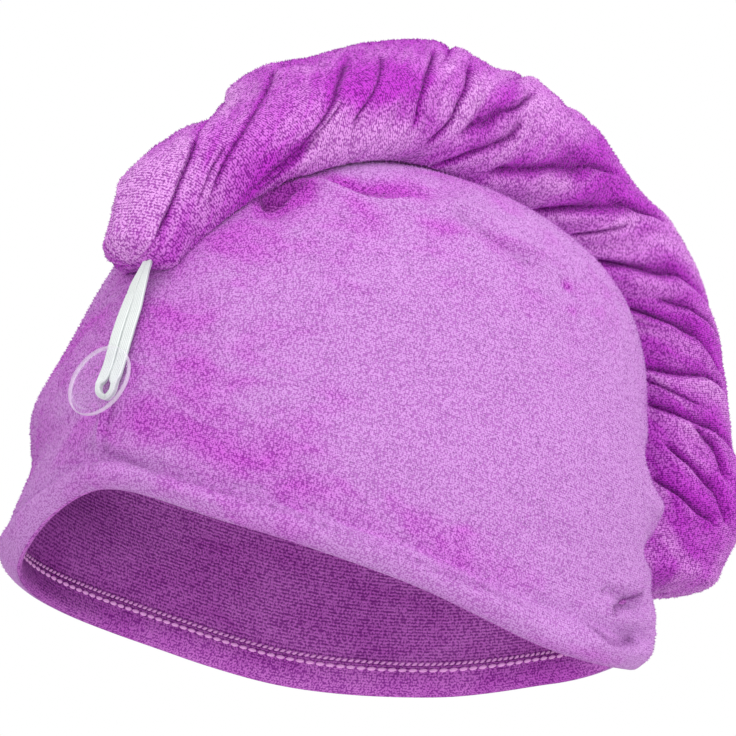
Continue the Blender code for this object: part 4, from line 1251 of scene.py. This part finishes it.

# %% [markdown]
# ## The clear button
# The button is turned plastic: a dished disc with a raised rim, on a shank. A
# profile spun round its axis gives true circles. Its rounded edges matter most,
# because clear plastic shows only where it bends the light.
# Its rim is also painted whiter and less clear, as a painted highlight.

# %% Button
disc, shank, foot = BUTTON_ACROSS / 2, SHANK_ACROSS / 2, FOOT_ACROSS / 2
under = base + SHANK_LONG
top = under + BUTTON_THICK
face = top - BUTTON_DISH
inner = disc - BUTTON_RIM
BUTTON_PROFILE = [
    # radius, height off the cloth
    (0.001, base), (0.6 * foot, base), (foot - 0.15, base), (foot, base + 0.15),
    (foot - 0.1, base + 0.35), (shank + 0.25, base + 0.55), (shank, base + 0.9),
    (shank, under - 0.5), (shank + 0.15, under - 0.15), (shank + 0.5, under),
    (0.5 * disc, under), (disc - 0.9, under), (disc - 0.35, under + 0.12),
    (disc - 0.05, under + 0.55), (disc, under + 1.1), (disc - 0.08, top - 0.45),
    (disc - 0.35, top - 0.12), (disc - 0.8, top), (disc - 1.25, top - 0.1),
    (inner, top - 0.35), (inner - 0.5, face + 0.06), (inner - 1.1, face),
    (0.5 * disc, face), (0.001, face),
]
PROFILE_STEPS, SPOKES, RIM_SHINE = 70, 96, 0.24
place, way_out = nape_place(np.array([-BUTTON_SIDE]), np.array([BUTTON_RISE]))
side = unit(np.cross([0.0, 0.0, 1.0], way_out[0]))
up = np.cross(way_out[0], side)
axis = math.cos(BUTTON_TILT) * way_out[0] + math.sin(BUTTON_TILT) * up
up = np.cross(axis, side)
spin = np.linspace(0.0, 2 * math.pi, SPOKES, endpoint=False)
spokes = np.cos(spin)[:, None] * side + np.sin(spin)[:, None] * up
fine = smooth_rows(BUTTON_PROFILE, np.linspace(0, 1, PROFILE_STEPS))
rings = np.array([place[0] + h * axis + max(r, 0.001) * spokes for r, h in fine])
# Painted highlight: a number that is high at the disc's edge and at the edge of its dish.
painted_rim_highlight = bump((disc - fine[:, :1]) / RIM_SHINE) + 0.4 * bump((inner - fine[:, :1]) / RIM_SHINE)
button = skin("clear_button", rings, place[0] + base * axis, place[0] + face * axis,
              spin / (2 * math.pi), 60.0, np.arange(len(rings)) * 0.5, {"rim": painted_rim_highlight})
clear, tree, shader = new_material("button_clear")
cloudy = noise(tree, in_object(tree), 300.0, 2.0, 0.5)
rim_highlight = stored(tree, "rim")
# Painted highlight: the rim is whiter and less clear than the rest of the disc.
fill(tree, shader, {"Base Color": mix(tree, rim_highlight, (0.80, 0.74, 0.92), (0.97, 0.95, 1.0)),
                    "Alpha": weighed(tree, (rim_highlight, 0.42), (cloudy, 0.08)),
                    "Normal": embossed(tree, cloudy, 0.08, 0.0002),
                    "Roughness": 0.06, "IOR": 1.49})
button.data.materials.append(clear)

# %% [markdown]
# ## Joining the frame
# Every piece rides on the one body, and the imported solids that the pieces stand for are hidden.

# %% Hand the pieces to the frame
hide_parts("hood")
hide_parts("twisted_tail")
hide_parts("elastic_loop")
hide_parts("button")
for piece, finish in ((hood, "plush_orchid"), (hood_pile, "plush_orchid"),
                      (tail, "plush_orchid_dark"), (tail_pile, "plush_orchid_dark"),
                      (elastic, "elastic_white"), (button, "button_clear"),
                      *((row, "plush_orchid") for row in stitch_rows)):
    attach(piece, "root")
print("pieces joined to the frame")

# %% [markdown]
# ## Floor and light
# Soft goods are shown on white in even light. A bright world gives the soft light
# from all round, a large lamp above gives the folds their shade, and a pale floor
# lies well below, because the towel is held up as on a head.

# %% Floor and lights
HALF_FLOOR, FLOOR_DROP, LAMP_FAR = 20.0, 1.1, 1.5       # metres
floor_mesh = bpy.data.meshes.new("floor")
floor_mesh.from_pydata([(x * HALF_FLOOR, y * HALF_FLOOR, -FLOOR_DROP)
                        for x, y in ((-1, -1), (1, -1), (1, 1), (-1, 1))], [], [(0, 1, 2, 3)])
floor = into_scene("floor", floor_mesh)
floor_paint, floor_tree, floor_shader = new_material("floor_paint")
fill(floor_tree, floor_shader, {"Base Color": (0.66, 0.66, 0.66, 1.0), "Roughness": 0.8})
floor.data.materials.append(floor_paint)

world = bpy.data.worlds.new("studio")
bpy.context.scene.world = world
world.use_nodes = True
fill(world.node_tree, world.node_tree.nodes["Background"],
     {"Color": (1.0, 1.0, 1.0, 1.0), "Strength": 1.0})
bpy.context.scene.view_settings.view_transform = "Standard"


def softbox(name, direction, power, width):
    """A square lamp that faces the towel."""
    lamp = bpy.data.lights.new(name, "AREA")
    lamp.energy = power
    lamp.size = width
    holder = into_scene(name, lamp)
    way = Vector(direction).normalized()
    holder.location = way * LAMP_FAR
    holder.rotation_euler = way.to_track_quat("Z", "Y").to_euler()


softbox("key_lamp", (-0.35, 0.25, 1.0), 9.0, 0.8)
softbox("fill_lamp", (-1.0, 0.9, 0.15), 3.0, 1.0)
softbox("side_lamp", (-0.8, -1.0, 0.3), 5.0, 0.8)
softbox("low_lamp", (-0.75, 0.75, -0.42), 4.0, 0.5)
print("lit")

# %% Update the scene
bpy.context.view_layer.update()
